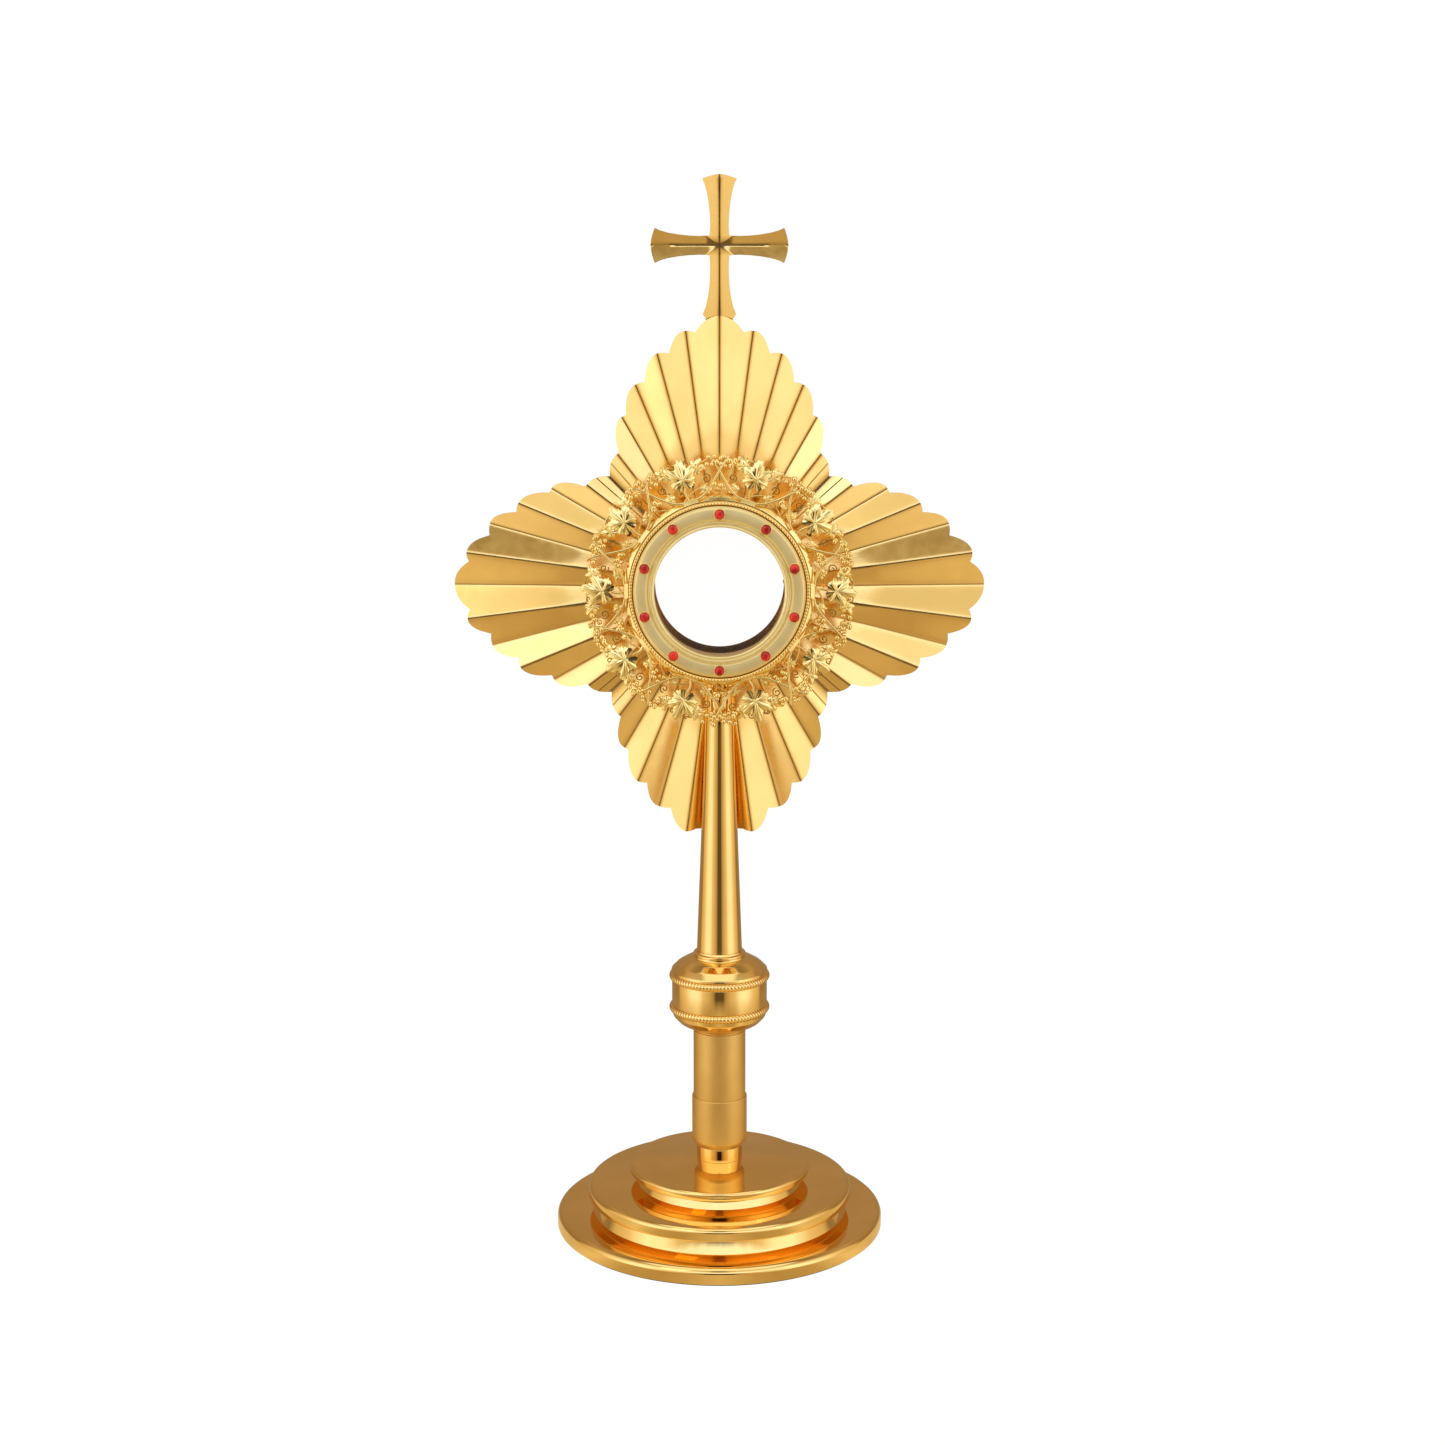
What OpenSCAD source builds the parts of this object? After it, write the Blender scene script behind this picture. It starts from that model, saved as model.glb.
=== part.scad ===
// Monstrance: stepped base, turned stem, pleated ray sheet, cross and removable luna.
// Millimetres. +Z up, front is -Y, origin at the centre of the base's underside.

/* [Base] */
// radius of the lowest step
base_r1 = 96; // [80:1:120]
// radius of the middle step
base_r2 = 77.5; // [60:0.5:95]
// radius of the top step
base_r3 = 53; // [40:1:70]
// thickness of the felt under the base
felt_t = 0.8; // [0.5:0.1:3]

/* [Stem] */
// radius of the satin collar
collar_r = 16.1; // [12:0.1:22]
// radius of the satin tube
tube_r = 15.25; // [10:0.05:20]
// radius of the band round the knop
knop_r = 27.7; // [20:0.1:35]
// radius of the stem's cone at its foot
cone_r0 = 13.15; // [9:0.05:18]
// radius of the stem's cone at its top
cone_r1 = 7.4; // [5:0.1:10]
// radius of the tie rod through the stem
rod_r = 3; // [2:0.5:4]

/* [Head] */
// height of the middle of the window
head_z = 380.4; // [340:0.1:420]
// radius of the window
window_r = 36.6; // [30:0.1:45]
// outer radius of the stone band
band_r = 48.6; // [42:0.1:56]
// number of stones, leaves and grape bunches
repeats = 10; // [8:1:12]
// outer radius of the wreath
wreath_r = 76; // [65:1:85]

/* [Rays] */
// radius at the tips of the four long rays
ray_tip_r = 151.7; // [120:0.1:180]
// depth of a pleat for each millimetre of radius, to one side
pleat = 0.0357; // [0.02:0.0001:0.06]
// thickness of the ray sheet
ray_t = 0.8; // [0.5:0.1:1.5]
// depth of the ray sheet behind the stem's axis
ray_y = 9; // [8:0.5:14]
// how far the rays lean back for each millimetre of radius
ray_lean = 0.04; // [0:0.005:0.08]

/* [Cross] */
// height of the middle of the cross
cross_z = 571; // [560:0.5:590]
// half the width over the arms
cross_half = 38.6; // [25:0.1:45]
// height above the middle
cross_up = 39; // [25:0.5:50]

/* [Luna] */
// outer radius of the luna's barrel
luna_r = 41; // [36:0.1:44]
// clearance round the luna in its case
luna_gap = 0.3; // [0.1:0.05:0.5]
// clearance round the pins
pin_gap = 0.05; // [0.02:0.01:0.1]

/* [Hidden] */
$fn = 96;
bore_r = rod_r + 0.1;
z_step1 = 10.2;
z_step2 = 26.1;
z_step3 = 41;
z_collar = 49;
z_tube = 79.3;
z_knop = 120.8;
z_bead1 = 131.3;
z_band = 135.7;
z_bead2 = 150.3;
z_dome = 154.7;
z_neck = 165.2;
z_cone = 168;
z_socket = 321;
bead_r = 2.2;
case_r = 49.5;
case_y0 = -14;
case_y1 = 16;
lip_y = -10;
bore_case = luna_r + luna_gap;
flange_r = 60;
flange_y0 = ray_y + ray_t / 2;
flange_y1 = flange_y0 + 2;
seat_gap = 0.2;
luna_y0 = lip_y + seat_gap;
fl_y0 = case_y1 + seat_gap;
fl_y1 = fl_y0 + 2;
glass_r = 39;
lid_r = 40;
lid_y0 = fl_y1 + seat_gap;
lid_y1 = lid_y0 + 2.5;
hinge_x = -42.5;
hinge_y = fl_y1 + 2.2;
hinge_pin_r = 0.8;
knuckle_r = 2;
catch_r = 54;
catch_y0 = lid_y0;
catch_y1 = catch_y0 + 1.5;
screw_r = 55;
hub_r0 = 50;
hub_r1 = 60;
hub_r2 = 65;
stone_r = 44.1;
wreath_y0 = -14;
wire_y1 = -10.5;
wire_y0 = -12.5;

GOLD = [0.87, 0.66, 0.3];
SATIN = [0.84, 0.64, 0.3];
STEEL = [0.7, 0.7, 0.7];
RED = [0.7, 0.06, 0.06];
CLEAR = [0.85, 0.95, 0.95, 0.35];

module turned(points) { rotate_extrude() polygon(points); }
// a solid of revolution about the window's axis: points are [radius, depth]
module head_turned(points) {
  translate([0, 0, head_z]) rotate([-90, 0, 0]) rotate_extrude() polygon(points);
}
module head_ring(r0, r1, y0, y1) {
  head_turned([[r0, y0], [r1, y0], [r1, y1], [r0, y1]]);
}
// children built along +X are turned to an angle round the window
module spoke(a) { translate([0, 0, head_z]) rotate([0, -a, 0]) children(); }
// a rod along the depth axis at radius r of the child's frame
module peg(r, rad, y0, y1, sides = 96) {
  translate([r, y0, 0]) rotate([-90, 0, 0]) cylinder(r = rad, h = y1 - y0, $fn = sides);
}
// a flat outline in the XZ plane between two depths
module plate(y0, y1) { translate([0, y1, 0]) rotate([90, 0, 0]) linear_extrude(y1 - y0) children(); }

module felt_pad() { color([0.1, 0.25, 0.12]) cylinder(r = base_r1 - 1.5, h = felt_t); }

module base_lower_step() {
  color(GOLD) turned([[20, felt_t], [base_r1 - 0.6, felt_t], [base_r1, felt_t + 0.6],
    [base_r1, 6.4], [base_r1 - 0.5, 8], [base_r1 - 1.6, 9.3], [base_r1 - 3.8, z_step1],
    [bore_r, z_step1], [bore_r, 6.5], [20, 6.5]]);
}
module base_middle_step() {
  color(GOLD) turned([[bore_r, z_step1], [75, z_step1], [71.6, 18.5],
    [base_r2 - 0.6, 18.5], [base_r2, 19.1], [base_r2, 23.1], [base_r2 - 0.5, 24.5],
    [base_r2 - 1.3, 25.5], [base_r2 - 3, z_step2], [bore_r, z_step2]]);
}
module base_upper_step() {
  color(GOLD) turned([[bore_r, z_step2], [48, z_step2], [44.9, 32.8],
    [base_r3 - 0.6, 32.8], [base_r3, 33.4], [base_r3, 35.7], [base_r3 - 0.6, 37],
    [base_r3 - 2, 37.65], [35, 38.8], [24, 39.9], [16, z_step3], [bore_r, z_step3]]);
}
module base_washer() {
  color(STEEL) turned([[bore_r, 4.9], [12, 4.9], [12, 6.5], [bore_r, 6.5]]);
}
module base_nut() {
  color(STEEL) difference() {
    translate([0, 0, 1.4]) cylinder(r = 5.8, h = 3.5, $fn = 6);
    translate([0, 0, 1]) cylinder(r = rod_r, h = 5);
  }
}
module tie_rod() { color(STEEL) translate([0, 0, 1.2]) cylinder(r = rod_r, h = 326.8); }

module stem_ferrule() {
  color(GOLD) turned([[bore_r, z_step3], [13.5, z_step3], [13.5, z_collar], [bore_r, z_collar]]);
}
module stem_collar() {
  color(SATIN) turned([[bore_r, z_collar], [13.9, z_collar], [15.1, 50.2], [15.8, 52],
    [collar_r, 54.7], [collar_r, z_tube - 0.4], [collar_r - 0.4, z_tube], [bore_r, z_tube]]);
}
module stem_tube() {
  color(SATIN) turned([[bore_r, z_tube], [tube_r, z_tube], [tube_r, z_knop], [bore_r, z_knop]]);
}
module knop_lower_cup() {
  color(GOLD) turned([[bore_r, z_knop], [15.8, z_knop], [19.4, 122.5], [23.4, 124.7], [26, 127],
    [27.2, 129], [knop_r, z_bead1], [bore_r, z_bead1]]);
}
module knop_bead(z0) {
  translate([0, 0, z0]) rotate_extrude() {
    polygon([[bore_r, 0], [knop_r - 0.6, 0], [knop_r - 0.6, 2 * bead_r], [bore_r, 2 * bead_r]]);
    translate([knop_r - 0.6, bead_r]) circle(r = bead_r);
  }
}
module knop_lower_bead() { color(GOLD) knop_bead(z_bead1); }
module knop_band() {
  color(GOLD) turned([[bore_r, z_band], [knop_r, z_band], [knop_r, z_bead2], [bore_r, z_bead2]]);
}
module knop_upper_bead() { color(GOLD) knop_bead(z_bead2); }
module knop_dome() {
  color(GOLD) turned([[bore_r, z_dome], [28, z_dome], [28, 156], [26.9, 157.6], [25, 159.4],
    [22.8, 161], [19.5, 162.7], [16, 163.9], [15.2, z_neck], [bore_r, z_neck]]);
}
module stem_neck_ring() {
  color(GOLD) turned([[bore_r, z_neck], [15.2, z_neck], [15.2, 166.4], [14.2, z_cone], [bore_r, z_cone]]);
}
module stem_cone() {
  color(GOLD) turned([[bore_r, z_cone], [cone_r0, z_cone], [cone_r1, z_socket], [bore_r, z_socket]]);
}
module head_socket() {
  color(GOLD) difference() {
    translate([0, 0, z_socket]) cylinder(r = 8.2, h = 12);
    translate([0, 0, z_socket - 1]) cylinder(r = rod_r, h = 9);
    spoke(0) peg(0, case_r, -20, 20);
  }
}

module luna_case() {
  color(GOLD) difference() {
    union() {
      head_turned([[window_r, case_y0], [case_r, case_y0], [case_r, flange_y0],
        [flange_r, flange_y0], [flange_r, flange_y1], [case_r, flange_y1], [case_r, case_y1],
        [bore_case, case_y1], [bore_case, lip_y], [window_r, lip_y]]);
      spoke(90) peg(catch_r, 4.4, flange_y1 - 0.5, fl_y1);
    }
    for (k = [0:7]) spoke(22.5 + 45 * k) peg(screw_r, 1.25, flange_y0 - 1, flange_y1 + 1);
    spoke(90) peg(catch_r, 1.5, 13, 30);
  }
}
module ray_screws() {
  color(GOLD) for (k = [0:7]) spoke(22.5 + 45 * k) {
    peg(screw_r, 1.2, flange_y0 - 3, flange_y1);
    peg(screw_r, 2.4, flange_y1, flange_y1 + 1.5);
  }
}
module ray_nuts() {
  color(GOLD) for (k = [0:7]) spoke(22.5 + 45 * k) difference() {
    peg(screw_r, 2.3, ray_y - ray_t / 2 - 1.8, ray_y - ray_t / 2, 6);
    peg(screw_r, 1.2, 0, 20);
  }
}

// lobes of the sheet's edge from a long ray's middle to the diagonal:
// [start angle, apex angle, end angle, start radius, apex radius, end radius]
LOBES = [[0, 0, 5.5, ray_tip_r, ray_tip_r, ray_tip_r - 8.4],
  [5.5, 7.7, 12.2, ray_tip_r - 8.4, ray_tip_r - 6.7, ray_tip_r - 17.8],
  [12.2, 14.8, 20, ray_tip_r - 17.8, ray_tip_r - 16.3, ray_tip_r - 29.1],
  [20, 22, 28.5, ray_tip_r - 29.1, ray_tip_r - 28.4, ray_tip_r - 41.4],
  [28.5, 29.8, 36.8, ray_tip_r - 41.8, ray_tip_r - 41.6, ray_tip_r - 57],
  [36.8, 37.5, 45, ray_tip_r - 57.2, ray_tip_r - 57.1, ray_tip_r - 64]];
function tip_angle(a) = abs((a + 405) % 90 - 45);
function lobe_edge(l, t) = t < l[1]
  ? l[4] - (l[4] - l[3]) * pow((l[1] - t) / max(l[1] - l[0], 0.01), 2)
  : l[4] - (l[4] - l[5]) * pow((t - l[1]) / (l[2] - l[1]), 2.1);
function edge_r(t) = lobe_edge([for (l = LOBES) if (t <= l[2] + 0.001) l][0], t);
function fold(a) = 1 - 2 * abs((a + 367.5) % 15 - 7.5) / 7.5;
OCTANT = [0, 1, 2, 3, 4, 4.8, 5.5, 6.5, 7.5, 9, 10, 11, 12.2, 13.5, 15, 16.5, 18, 19, 20, 21,
  22.5, 24, 25.5, 27, 28.5, 30, 31.5, 33, 34.5, 35.8, 36.8, 37.5, 39, 41, 43, 45];
LAST = len(OCTANT) - 1;
ROUND = [for (q = [-1:2]) each concat([for (t = OCTANT) 90 * q + t],
  [for (k = [LAST - 1:-1:1]) 90 * q + 90 - OCTANT[k]])];
ANGLES = [for (a = ROUND) if (a > -90.5 && a < 269.5) a];
NA = len(ANGLES);
function edge_at(a) = abs(a - 270) < 5.5 || a < -84.5 ? ray_tip_r - 8.4 : edge_r(tip_angle(a));
function sheet_row(a, j) = j == 0 ? hub_r0 : j == 1 ? hub_r1 : j == 2 ? hub_r2 : edge_at(a);
function sheet_point(a, j, side) = let (r = sheet_row(a, j))
  [r * cos(a), ray_y + side * ray_t / 2 + (j < 2 ? 0 : ray_lean * (r - hub_r1) + pleat * r * fold(a)),
    head_z + r * sin(a)];
function f_id(k, j) = k * 4 + j;
function b_id(k, j) = NA * 4 + k * 4 + j;
module sheet_mesh() {
  points = concat([for (a = ANGLES, j = [0:3]) sheet_point(a, j, -1)],
    [for (a = ANGLES, j = [0:3]) sheet_point(a, j, 1)]);
  faces = concat(
    [for (k = [0:NA - 1], j = [0:2]) let (n = (k + 1) % NA) each [[f_id(k, j), f_id(n, j), f_id(n, j + 1)],
      [f_id(k, j), f_id(n, j + 1), f_id(k, j + 1)],
      [b_id(k, j), b_id(n, j + 1), b_id(n, j)],
      [b_id(k, j), b_id(k, j + 1), b_id(n, j + 1)]]],
    [for (k = [0:NA - 1]) let (n = (k + 1) % NA) each [[f_id(k, 3), f_id(n, 3), b_id(n, 3)],
      [f_id(k, 3), b_id(n, 3), b_id(k, 3)],
      [f_id(n, 0), f_id(k, 0), b_id(k, 0)], [f_id(n, 0), b_id(k, 0), b_id(n, 0)]]]);
  polyhedron(points, faces);
}
module ray_sheet() {
  color(GOLD) difference() {
    sheet_mesh();
    for (k = [0:7]) spoke(22.5 + 45 * k) peg(screw_r, 1.25, 0, 20, 24);
  }
}

// the cross: eight planes folded along the middle of the arms
ARM = [[5.4, 17], [6.6, 28], [9.65, 36.5]];
SHAFT = [[5.5, 20], [6.6, 30], [9.5, 37.8], [7, 41.5], [6.5, 53]];
CORNER = 5.5;
cross_front = ray_y + ray_lean * (ray_tip_r - hub_r1) + pleat * ray_tip_r + ray_t / 2 + 0.01;
fold_up = 0.36;
fold_across = 0.55;
MITRE_Z = 5.3;
MITRE_X = MITRE_Z * fold_across / fold_up;
cross_t = 1.2;
function flip(list) = [for (k = [len(list) - 1:-1:0]) list[k]];
LOOP = concat([[MITRE_X, MITRE_Z], [CORNER, CORNER]], ARM, [[0, cross_up]],
  [for (p = flip(ARM)) [-p[0], p[1]]], [[-CORNER, CORNER], [-MITRE_X, MITRE_Z]],
  [for (p = ARM) [-p[1], p[0]]], [[-cross_half, 0]], [for (p = flip(ARM)) [-p[1], -p[0]]],
  [[-MITRE_X, -MITRE_Z], [-CORNER, -CORNER]], [for (p = SHAFT) [-p[0], -p[1]]], [[0, -53]],
  [for (p = flip(SHAFT)) [p[0], -p[1]]], [[CORNER, -CORNER], [MITRE_X, -MITRE_Z]],
  [for (p = ARM) [p[1], -p[0]]], [[cross_half, 0]], [for (p = flip(ARM)) [p[1], p[0]]]);
NL = len(LOOP);
function cross_dip(p) = min(fold_up * abs(p[0]), fold_across * abs(p[1]));
MARKS = [0, 5, 10, 14, 18, 25, 32, 36, 40];
module cross() {
  points = concat([for (s = [0, 1], p = LOOP)
    [p[0], cross_front - cross_dip(p) + s * cross_t, cross_z + p[1]]],
    [[0, cross_front, cross_z], [0, cross_front + cross_t, cross_z]]);
  front = [for (h = [0:7]) concat([2 * NL], [for (k = [MARKS[h + 1]:-1:MARKS[h]]) k % NL])];
  back = [for (h = [0:7]) concat([2 * NL + 1], [for (k = [MARKS[h]:MARKS[h + 1]]) NL + k % NL])];
  sides = [for (k = [0:NL - 1]) [k, (k + 1) % NL, NL + (k + 1) % NL, NL + k]];
  color(GOLD) polyhedron(points, concat(front, back, sides));
}

module bezel_ring() {
  color(GOLD) head_turned([[window_r, case_y0], [window_r, -18.2], [37.2, -18.8], [38.2, -18.4],
    [38.8, -19.2], [39.8, -19.2], [40.4, -18.4], [40.8, -18.8], [41.3, -19.6], [44.1, -19.9],
    [46.9, -19.6], [47.7, -18.8], [band_r, -17.6], [band_r, case_y0]]);
}
module bezel_milgrain_ring() {
  color(GOLD) head_turned([[band_r, wreath_y0], [band_r, -17], [49.2, -17.9], [50.4, -17.9],
    [51, -17], [51, wreath_y0]]);
}
module stone_settings() {
  color(GOLD) for (k = [0:repeats - 1]) spoke(90 + k * 360 / repeats) difference() {
    peg(stone_r, 3.1, -21, -18.6, 32);
    peg(stone_r, 2.65, -22, -20.1, 32);
    head_side_cut();
  }
}
module head_side_cut() {
  rotate([-90, 0, 0]) rotate_extrude() polygon([[window_r, case_y0], [window_r, -18.2],
    [37.2, -18.8], [38.2, -18.4], [38.8, -19.2], [39.8, -19.2], [40.4, -18.4], [40.8, -18.8],
    [41.3, -19.6], [44.1, -19.9], [46.9, -19.6], [47.7, -18.8], [band_r, -17.6], [band_r, case_y0]]);
}
module stones() {
  color(RED) for (k = [0:repeats - 1]) spoke(90 + k * 360 / repeats) difference() {
    translate([stone_r, -20.3, 0]) sphere(r = 2.6, $fn = 32);
    head_side_cut();
    translate([stone_r - 4, -20.3, -4]) cube([8, 4, 8]);
  }
}

module wreath_base_ring() { color(GOLD) head_ring(case_r, 54, wreath_y0, -9); }
// wires that cross at each stone's angle and run in to the ring on both sides
WIRE = [[54.4, 12], [56.5, 8.5], [60, 4.5], [64, 1.6], [68, 0], [72, -1.7], [wreath_r, -3.4]];
module wire(side) {
  w = 0.75;
  pts = [for (p = WIRE) [p[0] * cos(side * p[1]), p[0] * sin(side * p[1])]];
  plate(wire_y0, wire_y1) for (k = [0:len(pts) - 2])
    let (d = pts[k + 1] - pts[k], n = [-d[1], d[0]] / norm(d) * w, u = d / norm(d) * 0.3)
      polygon([pts[k] - u + n, pts[k] - u - n, pts[k + 1] + u - n, pts[k + 1] + u + n]);
}
module wreath_arches() {
  color(GOLD) difference() {
    for (k = [0:repeats - 1]) spoke(90 + k * 360 / repeats) { wire(1); wire(-1); }
    spoke(0) peg(0, 54, -20, 0);
  }
}
LEAF = [[-8.4, 0.7], [-6, 1.2], [-6.5, 5.5], [-3, 4.6], [-1.5, 8.6], [1.6, 5.2], [5.4, 8], [5.6, 3.6],
  [10.8, 3.4], [8.8, 1], [11.6, 0]];
module vine_leaves() {
  color(GOLD) for (k = [0:repeats - 1]) spoke(90 + (k + 0.5) * 360 / repeats) {
    plate(wire_y0 - 1.4, wire_y0) translate([63.4, 0])
      polygon(concat(LEAF, [for (j = [len(LEAF) - 2:-1:0]) [LEAF[j][0], -LEAF[j][1]]]));
    difference() {
      translate([53.5, wire_y0, -0.7]) cube([6, 2, 1.4]);
      rotate([-90, 0, 0]) translate([0, 0, -20]) cylinder(r = 54, h = 30);
    }
  }
}
GRAPES = [[66.5, 0], [69.6, 1.8], [69.6, -1.8], [72.8, 3.4], [72.8, 0], [72.8, -3.4]];
module grape_bunches() {
  color(GOLD) for (k = [0:repeats - 1]) spoke(90 + k * 360 / repeats) difference() {
    for (g = GRAPES) translate([g[0], wire_y0 - 1, g[1]]) sphere(r = 2, $fn = 10);
    translate([60, wire_y0, -8]) cube([20, 6, 16]);
  }
}

module luna_knuckle(z0, z1) {
  translate([hinge_x, hinge_y, head_z + z0]) cylinder(r = knuckle_r, h = z1 - z0);
}
module luna_body() {
  color(GOLD) difference() {
    union() {
      head_turned([[38, luna_y0], [luna_r, luna_y0], [luna_r, fl_y0], [46, fl_y0], [46, fl_y1],
        [glass_r, fl_y1], [glass_r, luna_y0 + 1.2], [38, luna_y0 + 1.2]]);
      for (s = [-1, 1]) {
        luna_knuckle(s > 0 ? 4.2 : -9.2, s > 0 ? 9.2 : -4.2);
        translate([hinge_x - 2, fl_y1 - 0.5, head_z + (s > 0 ? 4.2 : -9.2)]) cube([4, 2.7, 5]);
      }
    }
    translate([hinge_x, hinge_y, head_z - 12]) cylinder(r = hinge_pin_r, h = 24);
  }
}
module luna_front_glass() {
  color(CLEAR) head_turned([[0, luna_y0 + 1.2], [glass_r, luna_y0 + 1.2], [glass_r, luna_y0 + 3.2],
    [0, luna_y0 + 3.2]]);
}
module luna_glass_ring() { color(GOLD) head_ring(38.1, glass_r, luna_y0 + 3.2, luna_y0 + 4.4); }
module luna_hinge_pin() {
  color(STEEL) translate([hinge_x, hinge_y, head_z - 9.2]) cylinder(r = hinge_pin_r, h = 18.4);
}
module luna_lid() {
  color(GOLD) difference() {
    union() {
      head_turned([[37, lid_y0], [lid_r, lid_y0], [lid_r, lid_y1 - 0.5], [lid_r - 0.5, lid_y1],
        [37, lid_y1]]);
      luna_knuckle(-4, 4);
      translate([hinge_x, hinge_y - 1.6, head_z - 4]) cube([5, 2, 8]);
    }
    head_ring(0.01, 38.2, lid_y0 - 1, lid_y0 + 1.5);
    translate([hinge_x, hinge_y, head_z - 12]) cylinder(r = hinge_pin_r + pin_gap, h = 24);
  }
}
module luna_rear_glass() {
  color(CLEAR) head_turned([[0, lid_y0], [38.2, lid_y0], [38.2, lid_y0 + 1.5], [0, lid_y0 + 1.5]]);
}
module luna_knob() {
  color(GOLD) spoke(0) translate([38.4, 0, 0]) rotate([-90, 0, 0]) turned([[0, lid_y1],
    [1.4, lid_y1], [1.4, lid_y1 + 0.8], [1.1, lid_y1 + 1.8], [1.1, lid_y1 + 3.6],
    [1.8, lid_y1 + 5], [1.8, lid_y1 + 7], [1.2, lid_y1 + 7.8], [0, lid_y1 + 7.8]]);
}
module catch() {
  color(GOLD) translate([0, 0, head_z + catch_r]) difference() {
    union() {
      rotate([-90, 0, 0]) translate([0, 0, catch_y0]) cylinder(r = 4.4, h = catch_y1 - catch_y0);
      translate([0, catch_y0, -2.2]) cube([9.4, catch_y1 - catch_y0, 4.4]);
      rotate([-90, 0, 0]) translate([9.4, 0, catch_y0]) cylinder(r = 2.2, h = catch_y1 - catch_y0);
    }
    rotate([-90, 0, 0]) translate([0, 0, 10]) cylinder(r = 1.5 + pin_gap, h = 20);
  }
}
module catch_screw() {
  color(STEEL) spoke(90) {
    peg(catch_r, 1.5, 13, catch_y1 + 0.2);
    peg(catch_r, 2.9, catch_y1 + 0.2, catch_y1 + 1.8);
  }
}

felt_pad();
base_lower_step();
base_middle_step();
base_upper_step();
base_washer();
base_nut();
tie_rod();
stem_ferrule();
stem_collar();
stem_tube();
knop_lower_cup();
knop_lower_bead();
knop_band();
knop_upper_bead();
knop_dome();
stem_neck_ring();
stem_cone();
head_socket();
luna_case();
ray_sheet();
ray_screws();
ray_nuts();
cross();
bezel_ring();
bezel_milgrain_ring();
stone_settings();
stones();
wreath_base_ring();
wreath_arches();
vine_leaves();
grape_bunches();
luna_body();
luna_front_glass();
luna_glass_ring();
luna_hinge_pin();
luna_lid();
luna_rear_glass();
luna_knob();
catch();
catch_screw();
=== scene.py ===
"""Looks of the gilt monstrance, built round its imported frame."""
import math
import random

import bmesh
import bpy
from bpy.props import (BoolProperty, FloatProperty, FloatVectorProperty, IntProperty,
                       PointerProperty)
from mathutils import Matrix, Vector


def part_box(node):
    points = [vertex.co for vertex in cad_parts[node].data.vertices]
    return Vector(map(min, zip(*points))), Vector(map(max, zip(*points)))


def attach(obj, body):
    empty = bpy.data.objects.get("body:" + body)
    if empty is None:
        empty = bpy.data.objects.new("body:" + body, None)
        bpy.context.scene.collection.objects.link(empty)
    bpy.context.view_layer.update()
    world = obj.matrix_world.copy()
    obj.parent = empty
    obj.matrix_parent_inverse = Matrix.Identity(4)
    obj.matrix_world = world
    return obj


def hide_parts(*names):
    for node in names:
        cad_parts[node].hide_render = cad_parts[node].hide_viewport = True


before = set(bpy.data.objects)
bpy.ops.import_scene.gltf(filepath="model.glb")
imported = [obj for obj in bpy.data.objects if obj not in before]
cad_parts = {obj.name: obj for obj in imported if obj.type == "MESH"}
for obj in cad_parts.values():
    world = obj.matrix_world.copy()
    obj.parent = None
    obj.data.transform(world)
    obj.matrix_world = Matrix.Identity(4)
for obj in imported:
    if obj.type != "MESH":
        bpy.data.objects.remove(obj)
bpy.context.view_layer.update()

bl_info = {
    "name": "Gilt monstrance",
    "version": (1, 0, 0),
    "blender": (4, 5, 0),
    "location": "View3D > Sidebar > Monstrance",
    "description": "Builds the visible pieces of a gilt monstrance with a luna",
    "category": "Object",
}

MM = 0.001
TAU = 2 * math.pi
FRONT = Vector((0, -1, 0))

STAND = "stand"
BORE = 3.1  # radius of the hole that the tie rod runs through


# ---------------------------------------------------------------- sizes from the frame

def node_ends(node):
    """Lowest and highest z of a node, in millimetres."""
    low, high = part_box(node)
    return low.z / MM, high.z / MM


def node_half_width(node):
    """Half the width of a node over X, in millimetres."""
    low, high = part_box(node)
    return (high.x - low.x) / 2 / MM


def node_depth(node):
    """Front and back of a node along Y, in millimetres."""
    low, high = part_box(node)
    return low.y / MM, high.y / MM


HEAD_Z = sum(node_ends("bezel_ring")) / 2
RAY_TIP = node_half_width("ray_sheet")
BEZEL_BACK = node_depth("bezel_ring")[1]


# ---------------------------------------------------------------- settings

class BaseSettings(bpy.types.PropertyGroup):
    """Sizes of the stepped base."""

    edge_round: FloatProperty(
        name="Edge rounding", description="Rounding of the steps' upper edges, in millimetres",
        default=3.8, min=0.5, max=6.0)
    riser_inset: FloatProperty(
        name="Riser inset", description="Radius of the small cove under each step, in millimetres",
        default=1.1, min=0.2, max=3.0)
    segments: IntProperty(
        name="Segments", description="Segments round each turned piece", default=256, min=48, max=512)


class KnopSettings(bpy.types.PropertyGroup):
    """Sizes of the knop's milled beads."""

    rope_turns: IntProperty(
        name="Rope turns", description="Strands round each milled bead", default=84, min=24, max=160)
    rope_depth: FloatProperty(
        name="Rope depth", description="Depth between two strands, in millimetres",
        default=0.32, min=0.05, max=0.8)
    rope_slant: FloatProperty(
        name="Rope slant", description="Strands that a turn over the bead's section passes",
        default=0.9, min=0.0, max=4.0)


class RaySettings(bpy.types.PropertyGroup):
    """Sizes of the pleated ray sheet."""

    pleat: FloatProperty(
        name="Pleat", description="Depth of a pleat to one side for each millimetre of radius",
        default=0.0357, min=0.01, max=0.08)
    fold_round: FloatProperty(
        name="Fold rounding", description="Half width of a fold's rounding, in millimetres",
        default=1.0, min=0.1, max=3.0)
    thickness: FloatProperty(
        name="Thickness", description="Thickness of the sheet, in millimetres",
        default=0.8, min=0.3, max=2.0)
    step: FloatProperty(
        name="Angular step", description="Degrees between two columns of the sheet",
        default=0.25, min=0.125, max=1.0)


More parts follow.
